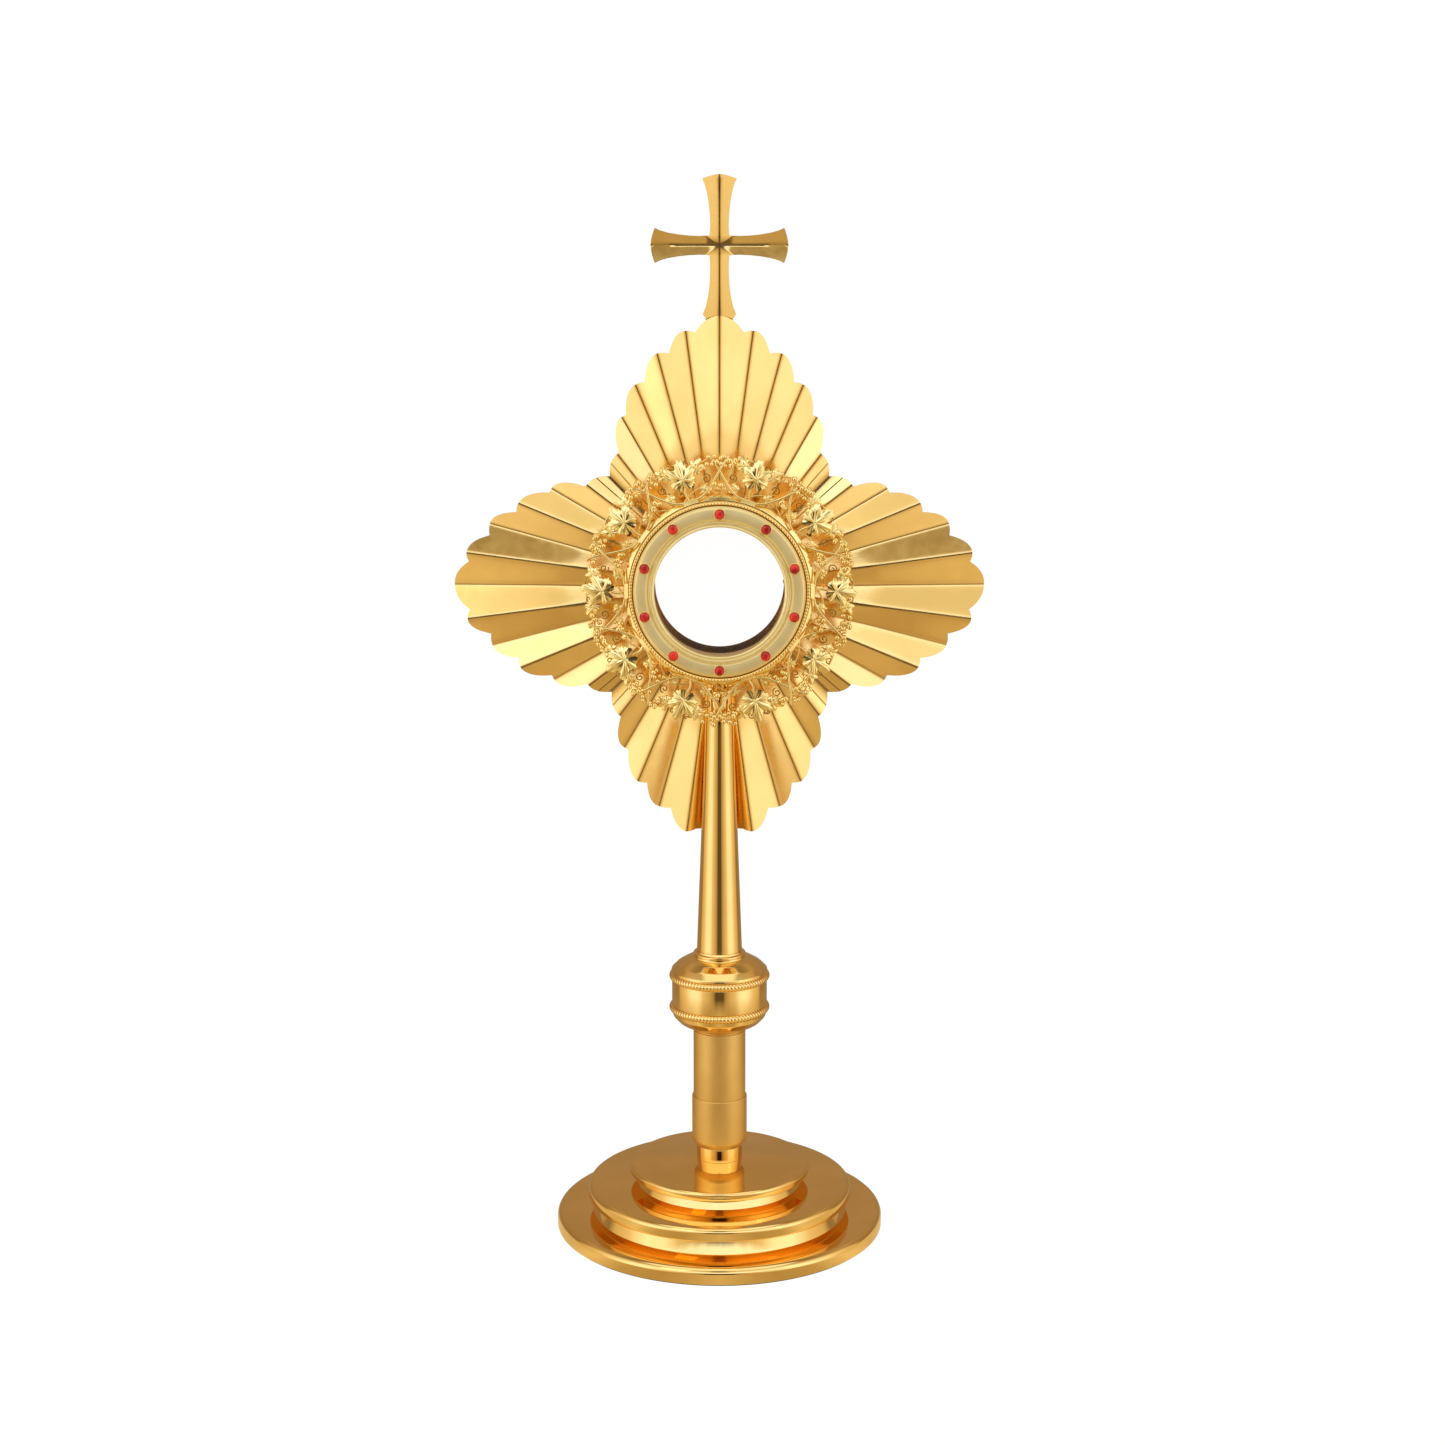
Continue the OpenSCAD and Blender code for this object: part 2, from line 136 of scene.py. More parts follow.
class WreathSettings(bpy.types.PropertyGroup):
    """Sizes of the vine wreath."""

    repeats: IntProperty(
        name="Repeats", description="Leaves, bunches and stones round the window",
        default=10, min=6, max=16)
    leaf_length: FloatProperty(
        name="Leaf length", description="Length of a vine leaf, in millimetres",
        default=24.0, min=8.0, max=30.0)
    berry_radius: FloatProperty(
        name="Berry radius", description="Radius of one berry, in millimetres",
        default=1.5, min=0.5, max=2.5)
    seed: IntProperty(
        name="Seed", description="Start of the small differences between leaves", default=7, min=0)


class FinishSettings(bpy.types.PropertyGroup):
    """Colours of the finishes."""

    gilt: FloatVectorProperty(
        name="Gilt", description="Colour of the polished gilding", subtype="COLOR",
        default=(0.96, 0.65, 0.235), min=0.0, max=1.0)
    satin: FloatVectorProperty(
        name="Satin gilt", description="Colour of the satin gilding", subtype="COLOR",
        default=(0.84, 0.54, 0.175), min=0.0, max=1.0)
    bezel: FloatVectorProperty(
        name="Bezel gilt", description="Colour of the bezel's paler gilding", subtype="COLOR",
        default=(1.0, 0.82, 0.42), min=0.0, max=1.0)
    cast: FloatVectorProperty(
        name="Cast gilt", description="Colour of the castings' gilding", subtype="COLOR",
        default=(0.97, 0.70, 0.28), min=0.0, max=1.0)
    leaf: FloatVectorProperty(
        name="Leaf gilt", description="Colour of the leaves' pale gilding", subtype="COLOR",
        default=(0.99, 0.74, 0.32), min=0.0, max=1.0)
    stone: FloatVectorProperty(
        name="Stone", description="Colour of the stones", subtype="COLOR",
        default=(0.74, 0.020, 0.014), min=0.0, max=1.0)
    felt: FloatVectorProperty(
        name="Felt", description="Colour of the felt pad", subtype="COLOR",
        default=(0.02, 0.07, 0.03), min=0.0, max=1.0)


class StageSettings(bpy.types.PropertyGroup):
    """Floor, lights and camera."""

    floor_size: FloatProperty(
        name="Floor size", description="Side of the floor", default=12.0, min=1.0, unit="LENGTH")
    panel_power: FloatProperty(
        name="Panel power", description="Strength of the soft panels", default=1.0, min=0.0)
    floor_shown: BoolProperty(
        name="Floor shown", description="Show the floor", default=True)


# ---------------------------------------------------------------- mesh helpers

def put_on(obj, body, slot, material, *replaced):
    """Gives a new piece its finish and its body, and hides the nodes it stands for."""
    obj.data.materials.clear()
    obj.data.materials.append(material)
    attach(obj, body)
    if replaced:
        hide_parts(*replaced)
    return obj


def mesh_piece(name, bm, sharp=35.0):
    """Turns a bmesh into an object in the scene, smooth but for its sharp edges."""
    mesh = bpy.data.meshes.new(name)
    bm.normal_update()
    bm.to_mesh(mesh)
    bm.free()
    mesh.shade_smooth()
    mesh.set_sharp_from_angle(angle=math.radians(sharp))
    obj = bpy.data.objects.new(name, mesh)
    bpy.context.scene.collection.objects.link(obj)
    return obj


def rounded(points, steps=6):
    """Rounds the corners of a profile: a point is (radius, height) or (radius, height, rounding)."""
    out = []
    count = len(points)
    for k, point in enumerate(points):
        rounding = point[2] if len(point) > 2 else 0.0
        here = Vector(point[:2])
        if rounding <= 0 or k in (0, count - 1):
            out.append(here)
            continue
        before = Vector(points[k - 1][:2]) - here
        after = Vector(points[k + 1][:2]) - here
        angle = before.angle(after)
        reach = min(rounding / math.tan(angle / 2), before.length * 0.49, after.length * 0.49)
        radius = reach * math.tan(angle / 2)
        start, end = here + before.normalized() * reach, here + after.normalized() * reach
        middle = here + (before.normalized() + after.normalized()).normalized() * (
            radius / math.sin(angle / 2))
        a0 = math.atan2(start.y - middle.y, start.x - middle.x)
        a1 = math.atan2(end.y - middle.y, end.x - middle.x)
        turn = (a1 - a0 + math.pi) % TAU - math.pi
        for j in range(steps + 1):
            a = a0 + turn * j / steps
            out.append(middle + Vector((math.cos(a), math.sin(a))) * radius)
    return out


def lathe(name, profile, segments=256, about_depth=False, wave=None):
    """Turns a closed profile of (radius, height) in millimetres about the stem or the window."""
    bm = bmesh.new()
    rings = []
    for k in range(segments):
        angle = TAU * k / segments
        ring = []
        for index, (radius, height) in enumerate(profile):
            if wave:
                radius, height = wave(angle, index, radius, height)
            x, y = radius * math.cos(angle), radius * math.sin(angle)
            place = (x, height, HEAD_Z + y) if about_depth else (x, y, height)
            ring.append(bm.verts.new([c * MM for c in place]))
        rings.append(ring)
    count = len(profile)
    for one, two in zip(rings, rings[1:] + rings[:1]):
        for j in range(count):
            i = (j + 1) % count
            bm.faces.new((one[j], two[j], two[i], one[i]))
    bmesh.ops.remove_doubles(bm, verts=bm.verts, dist=1e-7)
    bmesh.ops.dissolve_degenerate(bm, edges=bm.edges, dist=1e-8)
    bmesh.ops.recalc_face_normals(bm, faces=bm.faces)
    return mesh_piece(name, bm)


def head_point(radius, angle, depth):
    """A point round the window: millimetres, degrees and depth to metres."""
    a = math.radians(angle)
    return Vector((radius * math.cos(a), depth, HEAD_Z + radius * math.sin(a))) * MM


def head_frame(radius, angle, depth):
    """Local x along the radius, y along the tangent and z towards the viewer."""
    a = math.radians(angle)
    out = Vector((math.cos(a), 0, math.sin(a)))
    side = Vector((-math.sin(a), 0, math.cos(a)))
    rows = Matrix((out, side, FRONT)).transposed()
    return Matrix.Translation(head_point(radius, angle, depth)) @ rows.to_4x4()


def tube(bm, points, radius, sides=8):
    """Adds a round wire of a radius in millimetres along points in metres."""
    rings = []
    count = len(points)
    for k, point in enumerate(points):
        ahead = points[min(k + 1, count - 1)] - points[max(k - 1, 0)]
        ahead.normalize()
        side = ahead.cross(FRONT)
        if side.length < 1e-6:
            side = Vector((1, 0, 0))
        side.normalize()
        lift = side.cross(ahead)
        ring = []
        for s in range(sides):
            around = side * math.cos(TAU * s / sides) + lift * math.sin(TAU * s / sides)
            ring.append(bm.verts.new(point + around * radius * MM))
        rings.append(ring)
    for one, two in zip(rings, rings[1:]):
        for s in range(sides):
            n = (s + 1) % sides
            bm.faces.new((one[s], one[n], two[n], two[s]))
    bm.faces.new(list(reversed(rings[0])))
    bm.faces.new(rings[-1])


def smooth_path(points, steps=6):
    """Runs a smooth curve through a few points."""
    out = []
    ends = [points[0]] + list(points) + [points[-1]]
    for k in range(1, len(ends) - 2):
        a, b, c, d = (Vector(p) for p in ends[k - 1:k + 3])
        for j in range(steps):
            t = j / steps
            out.append(0.5 * ((2 * b) + (c - a) * t + (2 * a - 5 * b + 4 * c - d) * t * t
                              + (3 * b - 3 * c + d - a) * t ** 3))
    out.append(Vector(points[-1]))
    return out


def berry(bm, place, radius):
    """Adds a small round berry of a radius in millimetres."""
    made = bmesh.ops.create_icosphere(bm, subdivisions=2, radius=radius * MM)
    bmesh.ops.translate(bm, vec=place, verts=made["verts"])


# ---------------------------------------------------------------- finishes

GLASS_IOR = 1.5
GILT_LOOKS = {  # tint; roughness, its spread; marks to a metre, their depth in mm; lathe; tone; wear
    "gilt_mirror": ("gilt", 0.05, 0.02, 1500.0, 0.0016, "height", 0.03, 0.0),
    "gilt_mirror_head": ("gilt", 0.07, 0.03, 1500.0, 0.003, "depth", 0.03, 0.0),
    "gilt_satin": ("satin", 0.45, 0.05, 2200.0, 0.02, "height", 0.04, 0.0),
    "gilt_bezel": ("bezel", 0.5, 0.05, 2600.0, 0.012, "depth", 0.03, 0.0),
    "gilt_ray": ("gilt", 0.2, 0.05, 1700.0, 0.004, None, 0.03, 0.0),
    "gilt_leaf": ("leaf", 0.15, 0.07, 520.0, 0.07, None, 0.08, 0.2),
    "gilt_cast": ("cast", 0.13, 0.07, 700.0, 0.06, None, 0.08, 0.2),
}


def nodes_of(name):
    """Node tree, shader and coordinates of a new material."""
    material = bpy.data.materials.new(name)
    material.use_nodes = True
    tree = material.node_tree
    return tree, tree.nodes["Principled BSDF"], tree.nodes.new("ShaderNodeTexCoord")


def add(tree, kind, **values):
    """Adds a node and sets its inputs and settings by name."""
    node = tree.nodes.new(kind)
    for key, value in values.items():
        if key in node.inputs.keys():
            node.inputs[key].default_value = value
        else:
            setattr(node, key, value)
    return node


def noise(tree, coords, scale, detail=4.0, rough=0.55, stretch=None):
    """Noise over the object's own coordinates, stretched if asked."""
    node = add(tree, "ShaderNodeTexNoise", Scale=scale, Detail=detail, Roughness=rough)
    link = tree.links.new
    if stretch:
        mapping = add(tree, "ShaderNodeMapping")
        mapping.inputs["Scale"].default_value = stretch
        link(coords, mapping.inputs["Vector"])
        link(mapping.outputs["Vector"], node.inputs["Vector"])
    else:
        link(coords, node.inputs["Vector"])
    return node.outputs["Fac"]


def ramp(tree, source, low, high, out_low, out_high):
    """Maps a range of a value to another range."""
    node = add(tree, "ShaderNodeMapRange")
    for key, value in (("From Min", low), ("From Max", high), ("To Min", out_low),
                       ("To Max", out_high)):
        node.inputs[key].default_value = value
    tree.links.new(source, node.inputs["Value"])
    return node.outputs["Result"]


def bump_normal(tree, shader, height, distance):
    """Roughens a surface by a height, over a distance in millimetres."""
    bump = add(tree, "ShaderNodeBump", Strength=1.0, Distance=distance * MM)
    tree.links.new(height, bump.inputs["Height"])
    tree.links.new(bump.outputs["Normal"], shader.inputs["Normal"])


def two_colours(tree, shader, factor, dark, pale):
    """Runs the base colour from a dark to a pale tone."""
    mix = add(tree, "ShaderNodeMix", data_type="RGBA")
    mix.inputs["A"].default_value = (*dark, 1)
    mix.inputs["B"].default_value = (*pale, 1)
    tree.links.new(factor, mix.inputs["Factor"])
    tree.links.new(mix.outputs["Result"], shader.inputs["Base Color"])


def turned_coords(tree, coords, about_depth=False):
    """Coordinates that are the same all the way round: radius and height along the lathe's axis."""
    link = tree.links.new
    move = add(tree, "ShaderNodeVectorMath", operation="SUBTRACT")
    move.inputs[1].default_value = (0, 0, HEAD_Z * MM if about_depth else 0)
    link(coords, move.inputs[0])
    parts = add(tree, "ShaderNodeSeparateXYZ")
    link(move.outputs[0], parts.inputs[0])
    flat = add(tree, "ShaderNodeCombineXYZ")
    link(parts.outputs["X"], flat.inputs["X"])
    link(parts.outputs["Z" if about_depth else "Y"], flat.inputs["Y"])
    radius = add(tree, "ShaderNodeVectorMath", operation="LENGTH")
    link(flat.outputs[0], radius.inputs[0])
    joined = add(tree, "ShaderNodeCombineXYZ")
    link(radius.outputs["Value"], joined.inputs["X"])
    link(parts.outputs["Y" if about_depth else "Z"], joined.inputs["Z"])
    return joined.outputs[0]


def gilt(name, colour, rough, spread, marks, mark_depth, lathe_axis, tone, wear):
    """Gilding: colour drift, uneven gloss, lathe marks or cast grain, and fine scratches."""
    tree, shader, coords = nodes_of(name)
    link = tree.links.new
    place = coords.outputs["Object"]
    shader.inputs["Metallic"].default_value = 1.0
    cloud = noise(tree, place, 34.0, 3.0)
    deep = tuple(c * (1 - 1.6 * tone) for c in colour[:2]) + (colour[2] * (1 - 3.2 * tone),)
    light = tuple(min(1.0, c * (1 + tone)) for c in colour)
    two_colours(tree, shader, ramp(tree, cloud, 0.35, 0.65, 0.0, 1.0), deep, light)
    smear = noise(tree, place, 120.0, 6.0, 0.65)
    link(ramp(tree, smear, 0.3, 0.75, max(0.02, rough - spread), rough + spread),
         shader.inputs["Roughness"])
    grain_place = turned_coords(tree, place, lathe_axis == "depth") if lathe_axis else place
    grain = noise(tree, grain_place, marks, 5.0, 0.6)
    scratch = noise(tree, place, 900.0, 2.0, 0.5, (1.0, 0.06, 0.35))
    both = add(tree, "ShaderNodeMath", operation="ADD")
    link(grain, both.inputs[0])
    link(ramp(tree, scratch, 0.62, 0.75, 0.0, 0.35 + wear), both.inputs[1])
    bump_normal(tree, shader, both.outputs[0], mark_depth)


def stone_finish(colour):
    """Red paste stone with depth and small inner clouds."""
    tree, shader, coords = nodes_of("paste_stone")
    cloud = noise(tree, coords.outputs["Object"], 260.0, 3.0)
    red, green, blue = colour
    two_colours(tree, shader, ramp(tree, cloud, 0.35, 0.62, 0.0, 1.0),
                (red * 0.45, green * 0.4, blue * 0.4), (min(1, red * 1.25), green * 2.2, blue * 2.0))
    shader.inputs["Roughness"].default_value = 0.08
    shader.inputs["IOR"].default_value = GLASS_IOR


def glass_finish():
    """Clear flat glass with a faint smear, thin enough to see straight through."""
    tree, shader, coords = nodes_of("pane_glass")
    shader.inputs["Base Color"].default_value = (0.96, 0.98, 0.97, 1)
    shader.inputs["Alpha"].default_value = 0.015
    shader.inputs["IOR"].default_value = GLASS_IOR
    smear = noise(tree, coords.outputs["Object"], 60.0, 4.0)
    tree.links.new(ramp(tree, smear, 0.3, 0.8, 0.01, 0.07), shader.inputs["Roughness"])


def steel_finish():
    """Plain turned steel."""
    tree, shader, coords = nodes_of("plain_steel")
    shader.inputs["Metallic"].default_value = 1.0
    shader.inputs["Base Color"].default_value = (0.56, 0.55, 0.53, 1)
    place = coords.outputs["Object"]
    gloss = ramp(tree, noise(tree, place, 300.0), 0.3, 0.7, 0.25, 0.42)
    tree.links.new(gloss, shader.inputs["Roughness"])
    bump_normal(tree, shader, noise(tree, place, 1500.0), 0.02)


def felt_finish(colour):
    """Short green felt."""
    tree, shader, coords = nodes_of("green_felt")
    fibres = noise(tree, coords.outputs["Object"], 1400.0, 8.0, 0.7)
    two_colours(tree, shader, fibres, tuple(c * 0.6 for c in colour),
                tuple(min(1, c * 1.6) for c in colour))
    shader.inputs["Roughness"].default_value = 0.95
    shader.inputs["Sheen Weight"].default_value = 0.4
    bump_normal(tree, shader, fibres, 0.3)


def finish(name):
    """The named finish, made once."""
    tint = bpy.context.scene.monstrance_finish
    others = {
        "paste_stone": lambda: stone_finish(tint.stone),
        "pane_glass": glass_finish,
        "plain_steel": steel_finish,
        "green_felt": lambda: felt_finish(tint.felt),
    }
    if name not in bpy.data.materials:
        if name in others:
            others[name]()
        else:
            colour, *look = GILT_LOOKS[name]
            gilt(name, getattr(tint, colour), *look)
    return bpy.data.materials[name]


def refinish(node, name):
    """Gives a frame node that keeps its shape a finish."""
    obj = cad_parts[node]
    obj.data.materials.clear()
    obj.data.materials.append(finish(name))
    obj.data.shade_smooth()
    obj.data.set_sharp_from_angle(angle=math.radians(30))


# ---------------------------------------------------------------- base

RISERS = {  # radius at the foot and under the step, slope, and height of the underside
    "base_middle_step": (75.0, 71.7, 0.42, 18.5),
    "base_upper_step": (48.0, 45.0, 0.46, 32.8),
}
EDGE = 0.7  # rounding of a step's lower edge


def turned(node, slot, look, profile, steps=8):
    """Turns a profile with rounded corners in place of a node of the stand."""
    piece = lathe(node + "_turned", rounded(profile, steps), bpy.context.scene.monstrance_base.segments)
    put_on(piece, STAND, slot, finish(look), node)


def riser(node, cove):
    """Profile from the bore over a step's leaning riser to the lower edge of its rim."""
    foot, _ = node_ends(node)
    wide, narrow, slope, underside = RISERS[node]
    return [(BORE, foot), (wide, foot), (wide - slope * cove, foot + cove, 0.6),
            (narrow, underside - 0.3, 0.3), (narrow + 0.6, underside),
            (node_half_width(node), underside, EDGE)]


class MONSTRANCE_OT_base(bpy.types.Operator):
    """Turns the three polished steps of the base and lays the felt under them"""

    bl_idname = "monstrance.base"
    bl_label = "Base"

    def execute(self, context):
        size = context.scene.monstrance_base
        steps = ("base_lower_step", "base_middle_step", "base_upper_step")
        rims = [node_half_width(node) for node in steps]
        foot, low = node_ends(steps[0])
        _, middle = node_ends(steps[1])
        _, high = node_ends(steps[2])
        turned(steps[0], "gold_polished", "gilt_mirror",
               [(BORE, foot), (rims[0], foot, EDGE), (rims[0], low, size.edge_round), (BORE, low)], 10)
        turned(steps[1], "gold_polished", "gilt_mirror",
               riser(steps[1], size.riser_inset) + [(rims[1], middle, 3.0), (BORE, middle)])
        turned(steps[2], "gold_polished", "gilt_mirror",
               riser(steps[2], size.riser_inset) + [
                   (rims[2], high - 3.25, 2.0), (45.0, high - 2.9, 30.0), (30.0, high - 1.5, 40.0),
                   (16.0, high), (BORE, high)])
        refinish("felt_pad", "green_felt")
        for node in ("base_washer", "base_nut", "tie_rod"):
            refinish(node, "plain_steel")
        return {"FINISHED"}


# ---------------------------------------------------------------- stem

FERRULE_R = 13.5
COLLAR_R = 16.1
TUBE_R = 15.25
NECK_R = 15.2
CONE_R = (13.15, 7.4)  # at the foot and at the top


class MONSTRANCE_OT_stem(bpy.types.Operator):
    """Turns the ferrule, collar, tube, neck ring and tapering cone of the stem"""

    bl_idname = "monstrance.stem"
    bl_label = "Stem"

    def execute(self, context):
        foot, top = node_ends("stem_ferrule")
        turned("stem_ferrule", "gold_polished", "gilt_mirror",
               [(BORE, foot), (FERRULE_R, foot, 0.2), (FERRULE_R, top, 0.3), (BORE, top)])
        foot, top = node_ends("stem_collar")
        turned("stem_collar", "gold_satin", "gilt_satin",
               [(BORE, foot), (FERRULE_R + 0.1, foot, 0.4), (COLLAR_R, foot + 3.2, 4.5),
                (COLLAR_R, top, 0.6), (BORE, top)])
        foot, top = node_ends("stem_tube")
        turned("stem_tube", "gold_satin", "gilt_satin",
               [(BORE, foot), (TUBE_R, foot), (TUBE_R, top - 1.4, 0.2), (TUBE_R - 0.55, top - 1),
                (TUBE_R - 0.55, top), (BORE, top)])
        foot, top = node_ends("stem_neck_ring")
        turned("stem_neck_ring", "gold_polished", "gilt_mirror",
               [(BORE, foot), (NECK_R, foot, 0.4), (NECK_R, foot + 1.3, 0.4),
                (NECK_R - 1.3, foot + 1.8, 0.4), (NECK_R - 1.6, top, 0.1), (BORE, top)])
        foot, top = node_ends("stem_cone")
        turned("stem_cone", "gold_polished", "gilt_mirror",
               [(BORE, foot), (CONE_R[0], foot, 0.2), (CONE_R[1], top, 0.2), (BORE, top)])
        refinish("head_socket", "gilt_mirror")
        return {"FINISHED"}


class MONSTRANCE_OT_knop(bpy.types.Operator):
    """Turns the knop: underside cup, two milled beads, polished band and dome"""

    bl_idname = "monstrance.knop"
    bl_label = "Knop"

    def execute(self, context):
        foot, top = node_ends("knop_lower_cup")
        turned("knop_lower_cup", "gold_polished", "gilt_mirror",
               [(BORE, foot), (15.8, foot, 0.4), (23.4, foot + 3.9, 8.0), (27.0, foot + 7.8, 3.0),
                (27.6, top), (BORE, top)])
        foot, top = node_ends("knop_band")
        band = node_half_width("knop_band")
        turned("knop_band", "gold_polished", "gilt_mirror",
               [(BORE, foot), (band, foot, 0.3), (band, top, 0.3), (BORE, top)])
        foot, top = node_ends("knop_dome")
        dome = node_half_width("knop_dome")
        turned("knop_dome", "gold_polished", "gilt_mirror",
               [(BORE, foot), (dome, foot, 0.4), (dome, foot + 1.7, 1.2), (24.6, foot + 5.1, 6.0),
                (19.5, foot + 8.1, 9.0), (NECK_R, foot + 9.3, 1.0), (NECK_R, top), (BORE, top)])
        for node in ("knop_lower_bead", "knop_upper_bead"):
            self.milled_bead(node, context.scene.monstrance_knop)
        return {"FINISHED"}

    def milled_bead(self, node, size):
        """Turns a half-round bead with slanting strands round it."""
        low, high = node_ends(node)
        radius = (high - low) / 2
        centre = node_half_width(node) - radius
        steps = 18
        strand_columns = 12

        def bead_point(section, depth):
            return (centre + (radius - depth) * math.cos(section),
                    low + radius + (radius - depth) * math.sin(section))

        def rope(angle, index, r, z):
            if index in (0, steps + 2):
                return r, z
            section = math.pi * ((index - 1) / steps - 0.5)
            wave = abs(math.sin(size.rope_turns * angle / 2 + size.rope_slant * section))
            return bead_point(section, size.rope_depth * (1 - wave) ** 1.3 * math.cos(section) ** 0.5)

        arc = [bead_point(math.pi * (j / steps - 0.5), 0) for j in range(steps + 1)]
        piece = lathe(node + "_milled", [(BORE, low)] + arc + [(BORE, high)],
                      size.rope_turns * strand_columns, wave=rope)
        put_on(piece, STAND, "gold_polished", finish("gilt_mirror"), node)


# ---------------------------------------------------------------- rays

LOBES = (  # round from a long ray: start, apex and end angle, and how far in the edge lies there
    (0.0, 0.0, 5.5, 0.0, 0.0, 8.4),
    (5.5, 7.7, 12.2, 8.4, 6.7, 17.8),
    (12.2, 14.8, 20.0, 17.8, 16.3, 29.1),
    (20.0, 22.0, 28.5, 29.1, 28.4, 41.4),
    (28.5, 29.8, 36.8, 41.8, 41.6, 57.0),
    (36.8, 37.5, 45.0, 57.2, 57.1, 64.0),
)
RAY_LEAN = 0.04  # how far the sheet leans back for each millimetre outside the hub
RAY_DEPTH = 9.0
HUB = 60.0
HUB_EDGE = 5.0  # width over which the pleats rise out of the hub
SHEET_BORE = 50.2
PLEAT = 15.0  # degrees from valley to valley
LONG_VALLEY = 2.6  # how much rounder the valley in the middle of a long ray is
STEM_ANGLE = 5.5  # half the width in degrees of the plain edge behind the stem
STEM_EDGE = RAY_TIP - LOBES[0][-1]
ROWS = (0.0, 0.35, 0.45, 0.55, 0.66, 0.78, 0.9, 0.97, 1.0)


def edge_radius(angle):
    """Radius of the sheet's edge at an angle in degrees."""
    t = abs((angle + 405) % 90 - 45)
    for start, apex, end, at_start, at_apex, at_end in LOBES:
        if t <= end + 1e-6:
            if t < apex:
                part = ((apex - t) / max(apex - start, 0.01)) ** 2
                return RAY_TIP - at_apex - (at_start - at_apex) * part
            part = ((t - apex) / (end - apex)) ** 2.1
            return RAY_TIP - at_apex - (at_end - at_apex) * part
    return RAY_TIP - LOBES[-1][-1]


def sheet_depth(angle, radius, size):
    """Depth of the pleated sheet's middle at an angle and radius."""
    half = PLEAT / 2
    from_valley = abs((angle + 360 + half) % PLEAT - half)
    arc = math.radians(1) * radius
    to_valley = from_valley * arc
    to_ridge = (half - from_valley) * arc
    soft = size.fold_round * (LONG_VALLEY if abs((angle % 90) - 45) < half / 2 else 1.0)

    def ease(d, w):
        return math.sqrt(d * d + w * w) - d

    part = (to_valley + ease(to_valley, soft) - ease(to_ridge, size.fold_round)) / (half * arc)
    outside = max(0.0, radius - HUB)
    grow = min(1.0, outside / HUB_EDGE)
    return RAY_DEPTH + RAY_LEAN * outside + grow * size.pleat * radius * (1 - 2 * part)


class MONSTRANCE_OT_rays(bpy.types.Operator):
    """Folds the four-pointed ray sheet and its scalloped edge"""

    bl_idname = "monstrance.rays"
    bl_label = "Ray sheet"

    def execute(self, context):
        size = context.scene.monstrance_rays
        bm = bmesh.new()
        count = round(360 / size.step)
        grid = []
        for k in range(count):
            angle = -90 + 360 * k / count
            behind_stem = abs(abs(angle - 90) - 180) < STEM_ANGLE
            outer = STEM_EDGE if behind_stem else edge_radius(angle)
            column = []
            for part in ROWS:
                radius = SHEET_BORE + (outer - SHEET_BORE) * part
                a = math.radians(angle)
                depth = sheet_depth(angle, radius, size)
                column.append((radius * math.cos(a), depth, HEAD_Z + radius * math.sin(a)))
            grid.append(column)
        half = size.thickness / 2
        front, back = ([[bm.verts.new(Vector((x, y + shift, z)) * MM) for x, y, z in column]
                        for column in grid] for shift in (-half, half))
        last = len(ROWS) - 1
        for k in range(count):
            n = (k + 1) % count
            for j in range(last):
                bm.faces.new((front[k][j], front[n][j], front[n][j + 1], front[k][j + 1]))
                bm.faces.new((back[k][j], back[k][j + 1], back[n][j + 1], back[n][j]))
            bm.faces.new((front[k][last], front[n][last], back[n][last], back[k][last]))
            bm.faces.new((front[n][0], front[k][0], back[k][0], back[n][0]))
        bmesh.ops.recalc_face_normals(bm, faces=bm.faces)
        piece = mesh_piece("ray_sheet_folded", bm, 50.0)
        put_on(piece, STAND, "gold_ray", finish("gilt_ray"), "ray_sheet")
        for node in ("ray_screws", "ray_nuts"):
            refinish(node, "gilt_mirror_head")
        return {"FINISHED"}


# ---------------------------------------------------------------- cross

CROSS_Z = 571.0
CROSS_THICK = 1.2
CROSS_TAIL = 53.0
FOLD_UP = 0.36  # fall from the crease of the shaft for each millimetre sideways
FOLD_ACROSS = 0.55  # fall from the crease of the side arms for each millimetre up or down
FOLD_ROUND = 0.3
CORNER = 5.3  # height of the inner corners over the middle
CORNER_X = CORNER * FOLD_ACROSS / FOLD_UP
ARM_PLAIN = 12  # up to here an arm keeps its length when its reach changes
ARM_REACH = 39.0
SIDE_ARM = ((CORNER, CORNER_X), (5.15, 11), (5.4, 17), (6.0, 23), (7.0, 29), (8.3, 33.6), (9.65, 36.4),
            (8.4, 37.0), (5.4, 38.0), (2.6, 38.7))
UPPER_ARM = ((CORNER_X, CORNER), (5.5, 5.5)) + SIDE_ARM[1:]
LOWER_ARM = ((CORNER_X, CORNER), (5.5, 5.5), (5.2, 11), (5.3, 17), (5.6, 22), (6.4, 28), (7.6, 33.5),
             (9.4, 38.1), (8.3, 39.4), (7.3, 41.2), (7.0, 44.0), (6.6, CROSS_TAIL))


def arm_outline(points, reach, drawn_reach=ARM_REACH):
    """Outline of an arm from one side over its tip, as (across, along) in millimetres."""
    half = [(a, b * reach / drawn_reach if b > ARM_PLAIN else b) for a, b in points]
    return half + [(0, reach)] + [(-a, b) for a, b in reversed(half)]


def quarter_turns(x, z, turns):
    """Turns a point about the middle of the cross by whole quarters."""
    for _ in range(turns):
        x, z = -z, x
    return x, z


def crease_fall(x, z):
    """How far the folded face lies behind the middle of the cross."""
    across = FOLD_UP * (math.hypot(x, FOLD_ROUND) - FOLD_ROUND)
    along = FOLD_ACROSS * (math.hypot(z, FOLD_ROUND) - FOLD_ROUND)
    return min(across, along)


